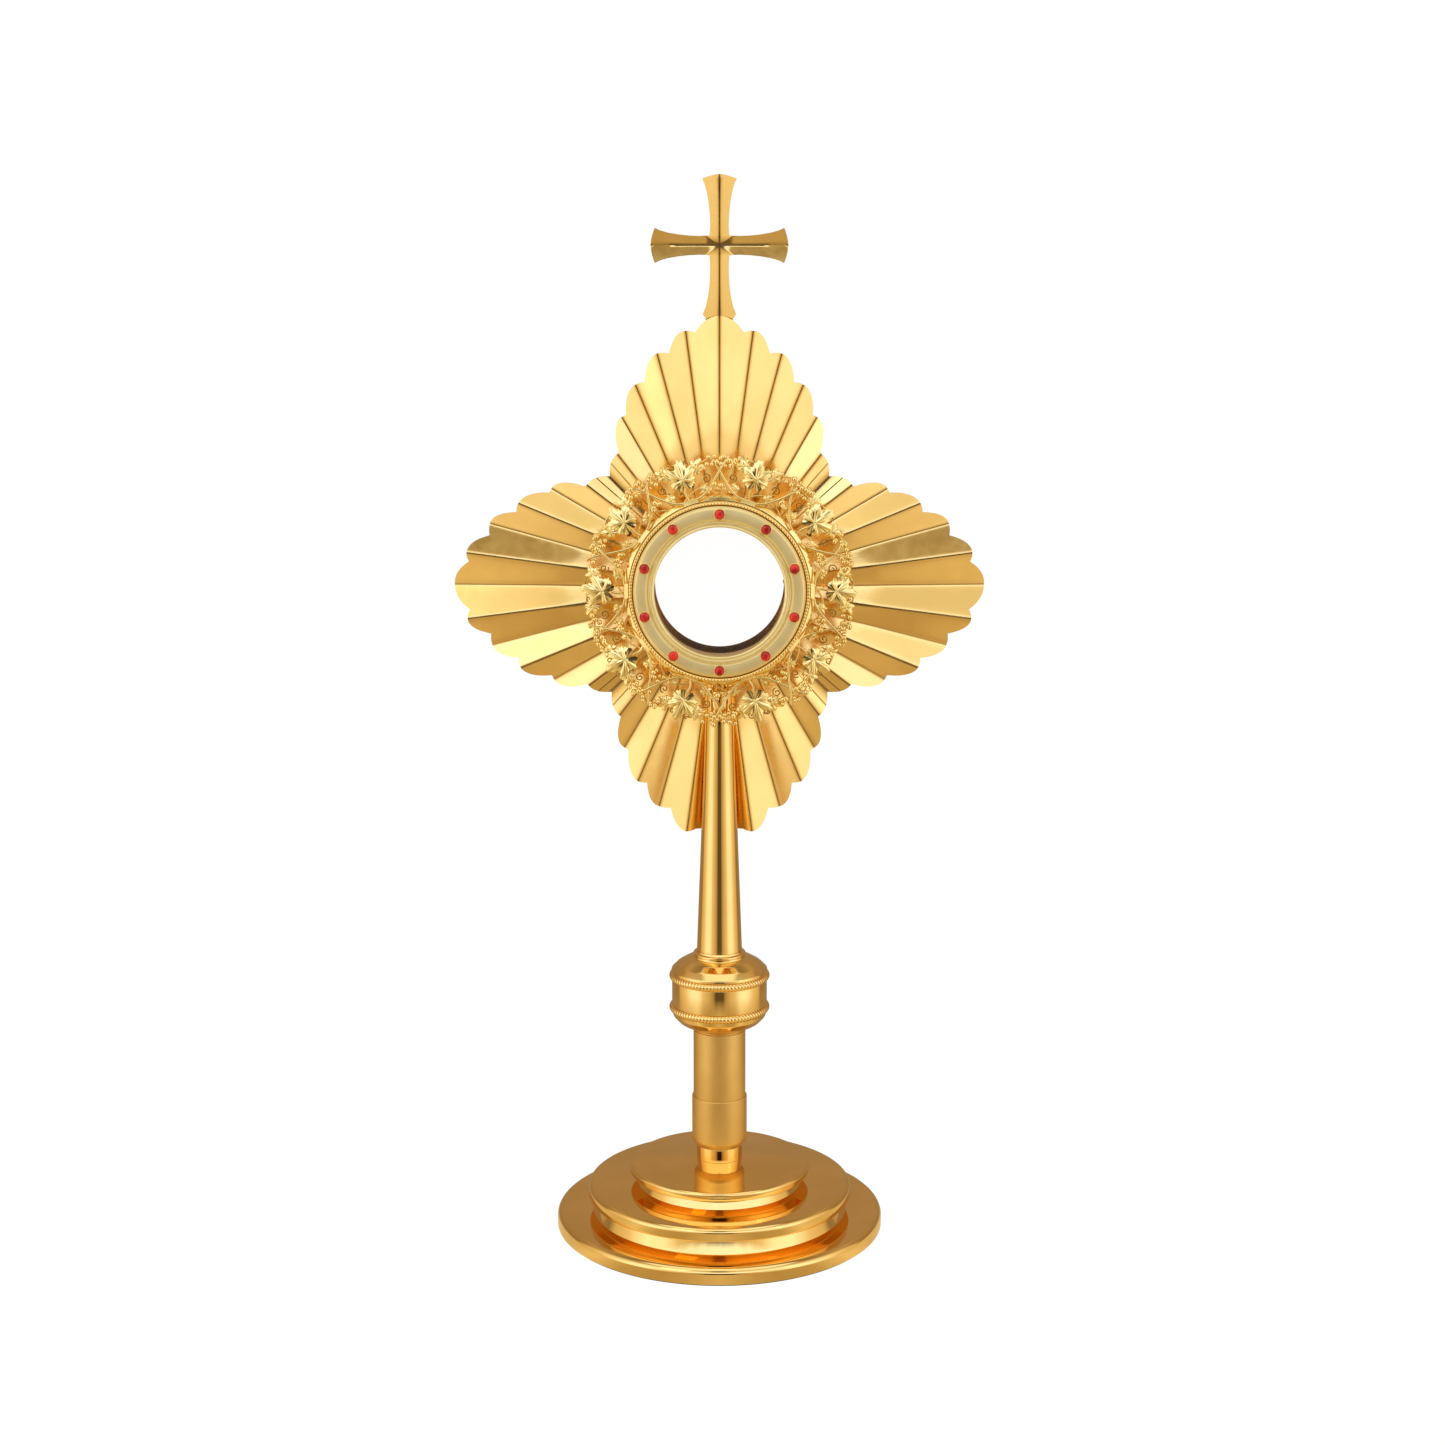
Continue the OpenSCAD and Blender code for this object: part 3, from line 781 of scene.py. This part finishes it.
class MONSTRANCE_OT_cross(bpy.types.Operator):
    """Folds the cross with its flared arms and creased middle"""

    bl_idname = "monstrance.cross"
    bl_label = "Cross"

    def execute(self, context):
        middle = node_depth("cross")[1] - CROSS_THICK
        up = node_ends("cross")[1] - CROSS_Z
        wide = node_half_width("cross")
        side_arm = arm_outline(SIDE_ARM, wide)
        lower_arm = arm_outline(LOWER_ARM, CROSS_TAIL, CROSS_TAIL)
        arms = (arm_outline(UPPER_ARM, up), side_arm, lower_arm, side_arm)
        bm = bmesh.new()
        steps = 6
        for shift in (0.0, CROSS_THICK):
            for turns, points in enumerate(arms):
                tip = len(points) // 2
                for side in (points[:tip + 1], points[:tip - 1:-1]):
                    strips = []
                    for a, b in side:
                        places = [quarter_turns(a * j / steps, b, turns) for j in range(steps + 1)]
                        strips.append([bm.verts.new(Vector((
                            x, middle - crease_fall(x, z) + shift, CROSS_Z + z)) * MM)
                            for x, z in places])
                    centre = bm.verts.new(Vector((0, middle + shift, CROSS_Z)) * MM)
                    for j in range(steps):
                        bm.faces.new((centre, strips[0][j], strips[0][j + 1]))
                    for one, two in zip(strips, strips[1:]):
                        for j in range(steps):
                            bm.faces.new((one[j], one[j + 1], two[j + 1], two[j]))
        bmesh.ops.remove_doubles(bm, verts=bm.verts, dist=2e-6)
        rim = [e for e in bm.edges if len(e.link_faces) == 1]
        bmesh.ops.bridge_loops(bm, edges=rim)
        bmesh.ops.dissolve_degenerate(bm, edges=bm.edges, dist=1e-7)
        bmesh.ops.recalc_face_normals(bm, faces=bm.faces)
        piece = mesh_piece("cross_folded", bm, 45.0)
        put_on(piece, STAND, "gold_ray", finish("gilt_ray"), "cross")
        return {"FINISHED"}


# ---------------------------------------------------------------- window and luna

OPENING_R = 36.6
CASE_R = 49.5
LUNA_ROOM_R = 41.3  # room inside the case for the luna
GRAIN_R = 49.9
GRAINS = 168
BOSS_R = 4.4  # the boss on the case that holds the turn button
BOSS_LONG = 7.2
BOSS_RADIUS = 54
BOSS_DEPTH = 14.6


class MONSTRANCE_OT_window(bpy.types.Operator):
    """Turns the case, the bezel with its reeds and the grained ring round it"""

    bl_idname = "monstrance.window"
    bl_label = "Window"

    def execute(self, context):
        seg = context.scene.monstrance_base.segments
        band = node_half_width("bezel_ring")
        bezel = rounded([
            (OPENING_R, BEZEL_BACK), (OPENING_R, -18.4, 0.3), (37.3, -18.9, 0.3), (38.0, -18.5, 0.1),
            (38.2, -18.3, 0.1), (38.7, -19.1, 0.4), (39.7, -19.2, 0.4), (40.3, -18.3, 0.1),
            (40.8, -18.8, 0.1), (41.3, -19.62, 0.4), (44.1, -19.85, 30.0), (46.9, -19.6, 0.4),
            (47.6, -18.8, 0.3), (48.45, -17.6, 0.2), (band, BEZEL_BACK)], 5)
        put_on(lathe("bezel_ring_turned", bezel, 320, True), STAND, "gold_polished",
               finish("gilt_bezel"), "bezel_ring")
        wide, high = 1.1, 0.9
        arc = [(GRAIN_R + wide * math.cos(a), -17.0 + high * math.sin(a))
               for a in [-math.pi * j / 12 for j in range(13)]]
        ring = [(GRAIN_R + wide, BEZEL_BACK)] + arc + [(GRAIN_R - wide, BEZEL_BACK)]

        def grain(angle, index, r, y):
            if 0 < index < len(ring) - 1:
                wave = abs(math.sin(GRAINS * angle / 2))
                y += 0.34 * (1 - wave) ** 1.2
                r += (GRAIN_R - r) * 0.22 * (1 - wave)
            return r, y

        put_on(lathe("bezel_milgrain_beaded", ring, GRAINS * 8, True, wave=grain), STAND,
               "gold_polished", finish("gilt_mirror_head"), "bezel_milgrain_ring")
        case = rounded([(OPENING_R, BEZEL_BACK), (CASE_R, BEZEL_BACK, 0.2), (CASE_R, 9.4),
                        (HUB, 9.4, 0.2), (HUB, 11.4, 0.4), (CASE_R, 11.4, 0.5), (CASE_R, 16, 0.6),
                        (LUNA_ROOM_R, 16, 0.5), (LUNA_ROOM_R, -10), (OPENING_R, -10, 0.2)], 5)
        case_piece = lathe("luna_case_turned", case, seg, True)
        bm = bmesh.new()
        bm.from_mesh(case_piece.data)
        boss = bmesh.ops.create_cone(bm, segments=48, radius1=BOSS_R * MM, cap_ends=True,
                                     radius2=(BOSS_R - 0.2) * MM, depth=BOSS_LONG * MM)["verts"]
        bmesh.ops.rotate(bm, verts=boss, cent=(0, 0, 0), matrix=Matrix.Rotation(-math.pi / 2, 3, "X"))
        bmesh.ops.translate(bm, verts=boss, vec=head_point(BOSS_RADIUS, 90, BOSS_DEPTH))
        bm.to_mesh(case_piece.data)
        bm.free()
        put_on(case_piece, STAND, "gold_polished", finish("gilt_mirror_head"), "luna_case")
        return {"FINISHED"}


class MONSTRANCE_OT_luna(bpy.types.Operator):
    """Finishes the luna with its glasses, hinged lid, knob and turn button"""

    bl_idname = "monstrance.luna"
    bl_label = "Luna and catch"

    def execute(self, context):
        looks = {
            "gilt_mirror_head": ("luna_body", "luna_glass_ring", "luna_lid", "luna_knob", "catch"),
            "pane_glass": ("luna_front_glass", "luna_rear_glass"),
            "plain_steel": ("luna_hinge_pin", "catch_screw"),
        }
        for look, names in looks.items():
            for node in names:
                refinish(node, look)
        return {"FINISHED"}


STONES_R = 44.1
STONES_DEPTH = -20.25
FACETS = 12
GEM_RINGS = ((2.6, 0.0), (2.6, 0.25), (2.2, 0.75), (1.45, 1.12))  # radius and height of each ring


def ring_verts(bm, place, radius, rise, sides, shift=0.0):
    """Adds a ring of points about the z axis of a place, in millimetres."""
    turns = [TAU * (s + shift) / sides for s in range(sides)]
    return [bm.verts.new(place @ (Vector((radius * math.cos(a), radius * math.sin(a), rise)) * MM))
            for a in turns]


def gem(bm, place):
    """Adds one faceted stone."""
    rings = [ring_verts(bm, place, radius, rise, FACETS, 0.5 * (level % 2))
             for level, (radius, rise) in enumerate(GEM_RINGS)]
    for level, (one, two) in enumerate(zip(rings, rings[1:])):
        for s in range(FACETS):
            n = (s + 1) % FACETS
            if level % 2 == 0:
                bm.faces.new((one[s], one[n], two[s]))
                bm.faces.new((one[n], two[n], two[s]))
            else:
                bm.faces.new((one[s], one[n], two[n]))
                bm.faces.new((one[s], two[n], two[s]))
    bm.faces.new(rings[-1])
    bm.faces.new(list(reversed(rings[0])))


def collet(bm, place, sides=40):
    """Adds the turned cup round one stone."""
    profile = rounded([(3.2, -0.6), (3.15, 0.35, 0.12), (2.9, 0.62, 0.12), (2.62, 0.35, 0.1),
                       (2.62, -0.2)], 3)
    loops = [ring_verts(bm, place, radius, rise, sides) for radius, rise in profile]
    for one, two in zip(loops, loops[1:] + loops[:1]):
        for s in range(sides):
            n = (s + 1) % sides
            bm.faces.new((one[s], one[n], two[n], two[s]))


class MONSTRANCE_OT_stones(bpy.types.Operator):
    """Cuts the round red stones and turns their collets"""

    bl_idname = "monstrance.stones"
    bl_label = "Stones"

    def execute(self, context):
        repeats = context.scene.monstrance_wreath.repeats
        gems, cups = bmesh.new(), bmesh.new()
        for k in range(repeats):
            place = head_frame(STONES_R, 90 + k * 360 / repeats, STONES_DEPTH)
            gem(gems, place)
            collet(cups, place)
        for bm in (gems, cups):
            bmesh.ops.recalc_face_normals(bm, faces=bm.faces)
        put_on(mesh_piece("stones_cut", gems, 8.0), STAND, "red_stone", finish("paste_stone"), "stones")
        put_on(mesh_piece("stone_collets", cups), STAND, "gold_polished",
               finish("gilt_mirror_head"), "stone_settings")
        return {"FINISHED"}


# ---------------------------------------------------------------- wreath

WREATH_R = 76
WIRE_SHAPE = (  # radius, and degrees to the side of the stone
    (53.4, 13.5), (54.4, 10.2), (57.0, 6.9), (60.6, 4.0), (64.4, 1.7), (68.0, 0.0), (71.8, -1.8),
    (76.0, -4.0))
BUNCHES = (  # berries, middle radius, half angle, spread along the radius, and depth
    (26, 73.0, 7.5, 1.0, -12.8), (9, 59.5, 3.4, 0.6, -12.6))
VINES = (  # middle radius, swing, degrees of wave to a step, its start, depth, and radius
    (55.5, 3.5, 45, 0, -11.4, 0.55), (73.4, 1.6, 90, 40, -11.2, 0.5))
LEAF_TIPS = ((0, 1.0), (52, 0.86), (-52, 0.86), (108, 0.66), (-108, 0.66))  # degrees and length
LEAF_THICK = 0.7


def turned_frame(radius, angle, depth, turn):
    """A frame round the window that is turned by some degrees in its own plane."""
    return head_frame(radius, angle, depth) @ Matrix.Rotation(math.radians(turn), 4, "Z")


def leaf_mesh(bm, place, length, curl, lift, seed):
    """Adds one five-lobed vine leaf with veins, toothed edge and curled lobes."""
    rng = random.Random(seed)
    around, across = 96, 10
    lobes = [(tip, long, rng.uniform(0.75, 1.25)) for tip, long in LEAF_TIPS]
    rings = []
    for s in range(around):
        a = -180 + 360 * s / around
        reach = 0.0
        for tip, long, _ in lobes:
            away = abs((a - tip + 180) % 360 - 180)
            reach = max(reach, long * (0.56 + 0.44 * math.exp(-(away / 21.0) ** 2)))
        reach *= 1 + 0.05 * math.sin(math.radians(a) * 26)
        if abs(a) > 160:
            reach *= 0.35 + 0.65 * ((180 - abs(a)) / 20) ** 0.8
        ring = []
        for j in range(1, across + 1):
            t = j / across
            radius = reach * t * length * 0.5
            x = radius * math.cos(math.radians(a))
            y = radius * math.sin(math.radians(a))
            vein = 0.0
            rise = 0.0
            for tip, _, bend in lobes:
                away = abs((a - tip + 180) % 360 - 180)
                vein = max(vein, math.exp(-(away * t / 3.2) ** 2) * (1 - 0.5 * t))
                rise += bend * math.exp(-(away / 26.0) ** 2) * (0.9 * t - 1.5 * t * t)
            ripple = 0.16 * math.sin(math.radians(a) * 9 + seed) * t
            z = lift + curl * rise + 0.42 * vein + ripple
            ring.append(bm.verts.new(place @ (Vector((x, y, z)) * MM)))
        rings.append(ring)
    hub = bm.verts.new(place @ (Vector((0, 0, lift + 0.45)) * MM))
    behind = place.to_3x3() @ Vector((0, 0, LEAF_THICK * MM))
    backs = [[bm.verts.new(v.co - behind) for v in ring] for ring in rings]
    back_hub = bm.verts.new(place @ (Vector((0, 0, lift - 0.3)) * MM))
    for s in range(around):
        n = (s + 1) % around
        bm.faces.new((hub, rings[s][0], rings[n][0]))
        bm.faces.new((back_hub, backs[n][0], backs[s][0]))
        for j in range(across - 1):
            bm.faces.new((rings[s][j], rings[s][j + 1], rings[n][j + 1], rings[n][j]))
            bm.faces.new((backs[s][j], backs[n][j], backs[n][j + 1], backs[s][j + 1]))
        bm.faces.new((rings[s][-1], backs[s][-1], backs[n][-1], rings[n][-1]))


def wire_path(angle, side):
    """A wire from the base ring, over the crossing, to the wreath's rim."""
    out = [head_point(r, angle + side * a, -14.3 - 1.0 * math.exp(-((r - 68) / 5) ** 2) * (side > 0))
           for r, a in WIRE_SHAPE]
    return smooth_path(out, 4)


def curl_path(frame_here, start, size, turns, side):
    """A tendril that winds up into a small coil."""
    out = []
    steps = int(14 * turns)
    for k in range(steps + 1):
        t = k / steps
        a = start + side * TAU * turns * t
        radius = size * (1 - 0.82 * t)
        out.append(frame_here @ (Vector((radius * math.cos(a), radius * math.sin(a), 0.5 * t)) * MM))
    return out


class MONSTRANCE_OT_wreath(bpy.types.Operator):
    """Casts the wreath: base ring, crossing wires, tendrils, vine leaves and grape bunches"""

    bl_idname = "monstrance.wreath"
    bl_label = "Vine wreath"

    def execute(self, context):
        size = context.scene.monstrance_wreath
        step = 360 / size.repeats
        rng = random.Random(size.seed)
        ring = rounded([(49.5, -14), (51.4, -14.0, 0.5), (53.9, -12.4, 0.8), (54.0, -9.0, 0.3),
                        (49.5, -9.0)], 5)
        put_on(lathe("wreath_base_ring_cast", ring, 256, True), STAND, "gold_cast",
               finish("gilt_cast"), "wreath_base_ring")
        wires, curls, leaves, grapes = (bmesh.new() for _ in range(4))
        for k in range(size.repeats):
            stone = 90 + k * step
            leaf = stone + step / 2
            for side in (1, -1):
                tube(wires, wire_path(stone, side), 0.68)
            for berries, middle, half_angle, spread, depth in BUNCHES:
                for _ in range(berries):
                    a = stone + rng.uniform(-1, 1) * half_angle
                    r = middle + rng.uniform(-3.4, 3.6) * spread
                    d = depth - rng.uniform(0.0, 2.4)
                    berry(grapes, head_point(min(r, WREATH_R), a, d),
                          size.berry_radius * rng.uniform(0.78, 1.1))
            place = turned_frame(65.8, leaf, -13.4, rng.uniform(-9, 9))
            leaf_mesh(leaves, place, size.leaf_length * rng.uniform(0.94, 1.06), 2.2, 0.6,
                      size.seed + k)
            for side in (1, -1):
                small = turned_frame(70.5 + rng.uniform(-1, 1), leaf + side * 7.2, -12.2,
                                     side * (38 + rng.uniform(-14, 14)))
                leaf_mesh(leaves, small, size.leaf_length * 0.52, 1.6, 0.4, size.seed + k + 40)
                low = turned_frame(57.6, leaf + side * 9.5, -12.4,
                                   side * (70 + rng.uniform(-20, 20)))
                leaf_mesh(leaves, low, size.leaf_length * 0.40, 1.4, 0.3, size.seed + k + 80)
                here = head_frame(65.0 + rng.uniform(-1.5, 1.5), leaf + side * 11.4, -13.6)
                tube(curls, curl_path(here, rng.uniform(0, TAU), 2.6, 1.3, side), 0.36, 6)
                here = head_frame(73.6, leaf + side * 3.4, -12.6)
                tube(curls, curl_path(here, rng.uniform(0, TAU), 2.0, 1.2, -side), 0.34, 6)
            stem = smooth_path([head_point(53.4, leaf, -11.6), head_point(57, leaf + 1.2, -12.6),
                                head_point(61, leaf + 0.3, -13.2)], 5)
            tube(curls, stem, 0.7)
            for middle, swing, turn, start, depth, thick in VINES:
                vine = smooth_path([head_point(
                    middle + swing * math.sin(math.radians(j * turn + start)),
                    stone + step * j / 8, depth) for j in range(9)], 3)
                tube(curls, vine, thick, 7)
        for bm in (wires, curls, leaves, grapes):
            bmesh.ops.recalc_face_normals(bm, faces=bm.faces)
        put_on(mesh_piece("wreath_wires", wires, 60), STAND, "gold_cast", finish("gilt_leaf"),
               "wreath_arches")
        put_on(mesh_piece("wreath_tendrils", curls, 60), STAND, "gold_cast", finish("gilt_cast"))
        put_on(mesh_piece("vine_leaves_cast", leaves, 60), STAND, "gold_cast", finish("gilt_leaf"),
               "vine_leaves")
        put_on(mesh_piece("grape_bunches_cast", grapes, 60), STAND, "gold_cast",
               finish("gilt_cast"), "grape_bunches")
        return {"FINISHED"}


# ---------------------------------------------------------------- stage

def panel(name, place, aim, width, height, level):
    """A soft area light of a given brightness that shows in reflections but not to the camera."""
    light = bpy.data.lights.new(name, "AREA")
    light.shape = "RECTANGLE"
    light.size, light.size_y = width, height
    light.energy = level * math.pi * width * height
    obj = bpy.data.objects.new(name, light)
    bpy.context.scene.collection.objects.link(obj)
    obj.location = place
    toward = Vector(aim) - Vector(place)
    obj.rotation_euler = toward.to_track_quat("-Z", "Y").to_euler()
    obj.visible_camera = False
    return obj


NEAR_FLOOR_PAINTED_LIGHT = (  # degrees round from the front: painted light and shade that the floor close to the foot glows with to all but camera rays, brightest to the front sides, dim behind and warm with light thrown off the gilt
    (0, (0.70, 0.57, 0.35)), (22, (0.50, 0.37, 0.19)), (38, (0.56, 0.43, 0.23)),
    (54, (0.88, 0.74, 0.48)), (70, (0.72, 0.57, 0.33)), (90, (0.74, 0.58, 0.35)),
    (120, (0.42, 0.31, 0.17)), (180, (0.30, 0.22, 0.13)))
FAR_STOPS = (  # the tent's narrow gap, its two walls and the dim room behind
    (0, (0.02, 0.01, 0.01)), (9, (0.03, 0.02, 0.01)), (14, (0.44, 0.31, 0.17)),
    (24, (0.70, 0.57, 0.37)), (38, (0.90, 0.80, 0.59)), (50, (1.28, 1.29, 1.36)),
    (68, (1.35, 1.39, 1.51)), (88, (0.92, 0.78, 0.54)), (106, (0.74, 0.57, 0.35)),
    (114, (0.32, 0.22, 0.13)), (180, (0.38, 0.27, 0.17)))
MIDDLE_STOPS = (  # the bright slopes over the walls, from side to side
    (0, (1.25, 1.39, 1.74)), (60, (1.25, 1.37, 1.65)), (84, (1.05, 0.97, 0.83)),
    (106, (0.74, 0.57, 0.37)), (114, (0.38, 0.26, 0.16)), (180, (0.40, 0.28, 0.17)))
HIGH_STOPS = (  # above the slopes: a dim wedge in the middle
    (0, (0.36, 0.27, 0.14)), (5, (0.40, 0.31, 0.17)), (10, (0.85, 0.79, 0.61)),
    (24, (1.05, 1.02, 0.91)), (50, (1.10, 1.11, 1.09)), (84, (0.90, 0.78, 0.56)),
    (110, (0.56, 0.41, 0.24)), (180, (0.38, 0.28, 0.17)))
UP_STOPS = (  # degrees of elevation: the walls, the bright slopes and the dim ceiling
    (-90, 0.85), (-12, 1.0), (44, 1.0), (54, 0.7), (60, 0.6), (65, 1.0), (90, 1.0))
CEILING = (1.15, 1.20, 1.22)
CAMERA_LENS = 63.1
CAMERA_PLACE = (0, -1.4225, 0.5866)
CAMERA_TILT = 11.29  # degrees down from level


def colour_ramp(tree, stops):
    """A colour ramp with the given positions and colours."""
    node = add(tree, "ShaderNodeValToRGB")
    elements = node.color_ramp.elements
    while len(elements) < len(stops):
        elements.new(0.5)
    for element, (place, colour) in zip(elements, stops):
        element.position = place
        element.color = (*colour, 1)
    return node


def turn_part(tree, vector):
    """Turn round from the front of a vector, 0 to 180 degrees as 0 to 1, and its z."""
    link = tree.links.new
    parts = add(tree, "ShaderNodeSeparateXYZ")
    link(vector, parts.inputs[0])
    back = add(tree, "ShaderNodeMath", operation="MULTIPLY")
    back.inputs[1].default_value = -1
    link(parts.outputs["Y"], back.inputs[0])
    turn = add(tree, "ShaderNodeMath", operation="ARCTAN2")
    link(parts.outputs["X"], turn.inputs[0])
    link(back.outputs[0], turn.inputs[1])
    flat = add(tree, "ShaderNodeMath", operation="ABSOLUTE")
    link(turn.outputs[0], flat.inputs[0])
    part = add(tree, "ShaderNodeMath", operation="DIVIDE")
    part.inputs[1].default_value = math.pi
    link(flat.outputs[0], part.inputs[0])
    return part.outputs[0], parts.outputs["Z"]


def round_colours(tree, part, stops):
    """Colours of the tent by degrees round from the front."""
    node = colour_ramp(tree, [(a / 180, c) for a, c in stops])
    tree.links.new(part, node.inputs[0])
    return node.outputs["Color"]


def blend(tree, factor, one, two, how="MIX"):
    """Mixes two colours."""
    node = add(tree, "ShaderNodeMix", data_type="RGBA", blend_type=how)
    if isinstance(factor, float):
        node.inputs["Factor"].default_value = factor
    else:
        tree.links.new(factor, node.inputs["Factor"])
    tree.links.new(one, node.inputs["A"])
    tree.links.new(two, node.inputs["B"])
    return node.outputs["Result"]


class MONSTRANCE_OT_stage(bpy.types.Operator):
    """Sets the floor, the soft light tent and the camera"""

    bl_idname = "monstrance.stage"
    bl_label = "Stage"

    def execute(self, context):
        scene = context.scene
        size = scene.monstrance_stage
        scene.view_settings.view_transform = "Standard"
        bm = bmesh.new()
        bmesh.ops.create_grid(bm, x_segments=1, y_segments=1, size=size.floor_size / 2)
        floor = mesh_piece("floor", bm)
        tree, shader, coords = nodes_of("pale_floor")
        link = tree.links.new
        shader.inputs["Roughness"].default_value = 0.9
        shader.inputs["Base Color"].default_value = (0.9, 0.9, 0.9, 1)
        shown = add(tree, "ShaderNodeEmission", Color=(1, 1, 1, 1), Strength=1.05)
        pale = add(tree, "ShaderNodeMixShader", Fac=0.05)
        link(shown.outputs[0], pale.inputs[1])
        link(shader.outputs[0], pale.inputs[2])
        # To all but camera rays the floor is not lit but glows with painted light and shade: the near
        # stops by the foot, blending out to the tent's colours farther off. To the camera it stays
        # plain pale.
        part = turn_part(tree, coords.outputs["Object"])[0]
        away = add(tree, "ShaderNodeVectorMath", operation="LENGTH")
        link(coords.outputs["Object"], away.inputs[0])
        painted_floor_light = blend(tree, ramp(tree, away.outputs["Value"], 0.32, 0.55, 0.0, 0.85),
                     round_colours(tree, part, NEAR_FLOOR_PAINTED_LIGHT), round_colours(tree, part, FAR_STOPS))
        # emission of the floor's painted light and shade, at the panels' strength
        tent = add(tree, "ShaderNodeEmission", Strength=size.panel_power)
        link(painted_floor_light, tent.inputs["Color"])
        path = add(tree, "ShaderNodeLightPath")
        choose = add(tree, "ShaderNodeMixShader")
        link(path.outputs["Is Camera Ray"], choose.inputs[0])
        link(tent.outputs[0], choose.inputs[1])
        link(pale.outputs[0], choose.inputs[2])
        link(choose.outputs[0], tree.nodes["Material Output"].inputs["Surface"])
        floor.data.materials.append(bpy.data.materials["pale_floor"])
        floor.hide_render = not size.floor_shown

        world = bpy.data.worlds.new("studio")
        scene.world = world
        world.use_nodes = True
        tree = world.node_tree
        link = tree.links.new
        shade = tree.nodes["Background"]
        place = add(tree, "ShaderNodeTexCoord")
        part, height = turn_part(tree, place.outputs["Generated"])
        lower = blend(tree, ramp(tree, height, 0.29, 0.34, 0.0, 1.0),
                      round_colours(tree, part, FAR_STOPS), round_colours(tree, part, MIDDLE_STOPS))
        upper = blend(tree, ramp(tree, height, 0.56, 0.65, 0.0, 1.0), lower,
                      round_colours(tree, part, HIGH_STOPS))
        lamp = add(tree, "ShaderNodeRGB")
        lamp.outputs[0].default_value = (*CEILING, 1)
        walls = blend(tree, ramp(tree, height, 0.88, 0.92, 0.0, 1.0), upper, lamp.outputs[0])
        up = add(tree, "ShaderNodeMapRange")
        up.inputs["From Min"].default_value = -1.0
        link(height, up.inputs["Value"])
        rise = colour_ramp(tree, [((math.sin(math.radians(a)) + 1) / 2, (v, v, v))
                                  for a, v in UP_STOPS])
        link(up.outputs["Result"], rise.inputs[0])
        tent = blend(tree, 1.0, walls, rise.outputs["Color"], "MULTIPLY")
        path = add(tree, "ShaderNodeLightPath")
        mix = add(tree, "ShaderNodeMix", data_type="RGBA")
        mix.inputs["B"].default_value = (1, 1, 1, 1)
        link(tent, mix.inputs["A"])
        link(path.outputs["Is Camera Ray"], mix.inputs["Factor"])
        link(mix.outputs["Result"], shade.inputs["Color"])
        shade.inputs["Strength"].default_value = 1.0

        power = size.panel_power
        aim = (0, 0, 0.33)
        panel("panel_left", (-0.75, -1.0, 1.35), aim, 0.5, 0.5, 0.9 * power)
        panel("panel_right", (1.15, -0.85, 0.9), aim, 0.2, 0.5, 0.4 * power)

        camera = bpy.data.cameras.new("camera")
        camera.lens = CAMERA_LENS
        camera.sensor_width = 36.0
        camera.shift_x = 0.0021
        obj = bpy.data.objects.new("camera", camera)
        scene.collection.objects.link(obj)
        obj.location = CAMERA_PLACE
        obj.rotation_euler = (math.radians(90 - CAMERA_TILT), 0, 0)
        scene.camera = obj
        return {"FINISHED"}


# ---------------------------------------------------------------- panel and running

class MONSTRANCE_PT_panel(bpy.types.Panel):
    """Lists the monstrance's pieces in the sidebar"""

    bl_label = "Monstrance"
    bl_idname = "MONSTRANCE_PT_panel"
    bl_space_type = "VIEW_3D"
    bl_region_type = "UI"
    bl_category = "Monstrance"

    def draw(self, context):
        for operator in OPERATORS:
            self.layout.operator(operator.bl_idname)
        for name in SETTINGS:
            group = getattr(context.scene, name)
            box = self.layout.box()
            for key in group.bl_rna.properties.keys():
                if key not in ("rna_type", "name"):
                    box.prop(group, key)


OPERATORS = (MONSTRANCE_OT_stage, MONSTRANCE_OT_base, MONSTRANCE_OT_stem, MONSTRANCE_OT_knop,
             MONSTRANCE_OT_rays, MONSTRANCE_OT_cross, MONSTRANCE_OT_window, MONSTRANCE_OT_luna,
             MONSTRANCE_OT_stones, MONSTRANCE_OT_wreath)
SETTINGS = {
    "monstrance_base": BaseSettings,
    "monstrance_knop": KnopSettings,
    "monstrance_rays": RaySettings,
    "monstrance_wreath": WreathSettings,
    "monstrance_finish": FinishSettings,
    "monstrance_stage": StageSettings,
}


def register():
    for group in SETTINGS.values():
        bpy.utils.register_class(group)
    for operator in OPERATORS + (MONSTRANCE_PT_panel,):
        bpy.utils.register_class(operator)
    for name, group in SETTINGS.items():
        setattr(bpy.types.Scene, name, PointerProperty(type=group))


def unregister():
    for name in SETTINGS:
        delattr(bpy.types.Scene, name)
    for operator in reversed(OPERATORS + (MONSTRANCE_PT_panel,)):
        bpy.utils.unregister_class(operator)
    for group in reversed(list(SETTINGS.values())):
        bpy.utils.unregister_class(group)


def main():
    """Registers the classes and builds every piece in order."""
    register()
    for operator in OPERATORS:
        group, name = operator.bl_idname.split(".")
        getattr(getattr(bpy.ops, group), name)()
    bpy.context.view_layer.update()


if __name__ == "__main__":
    main()
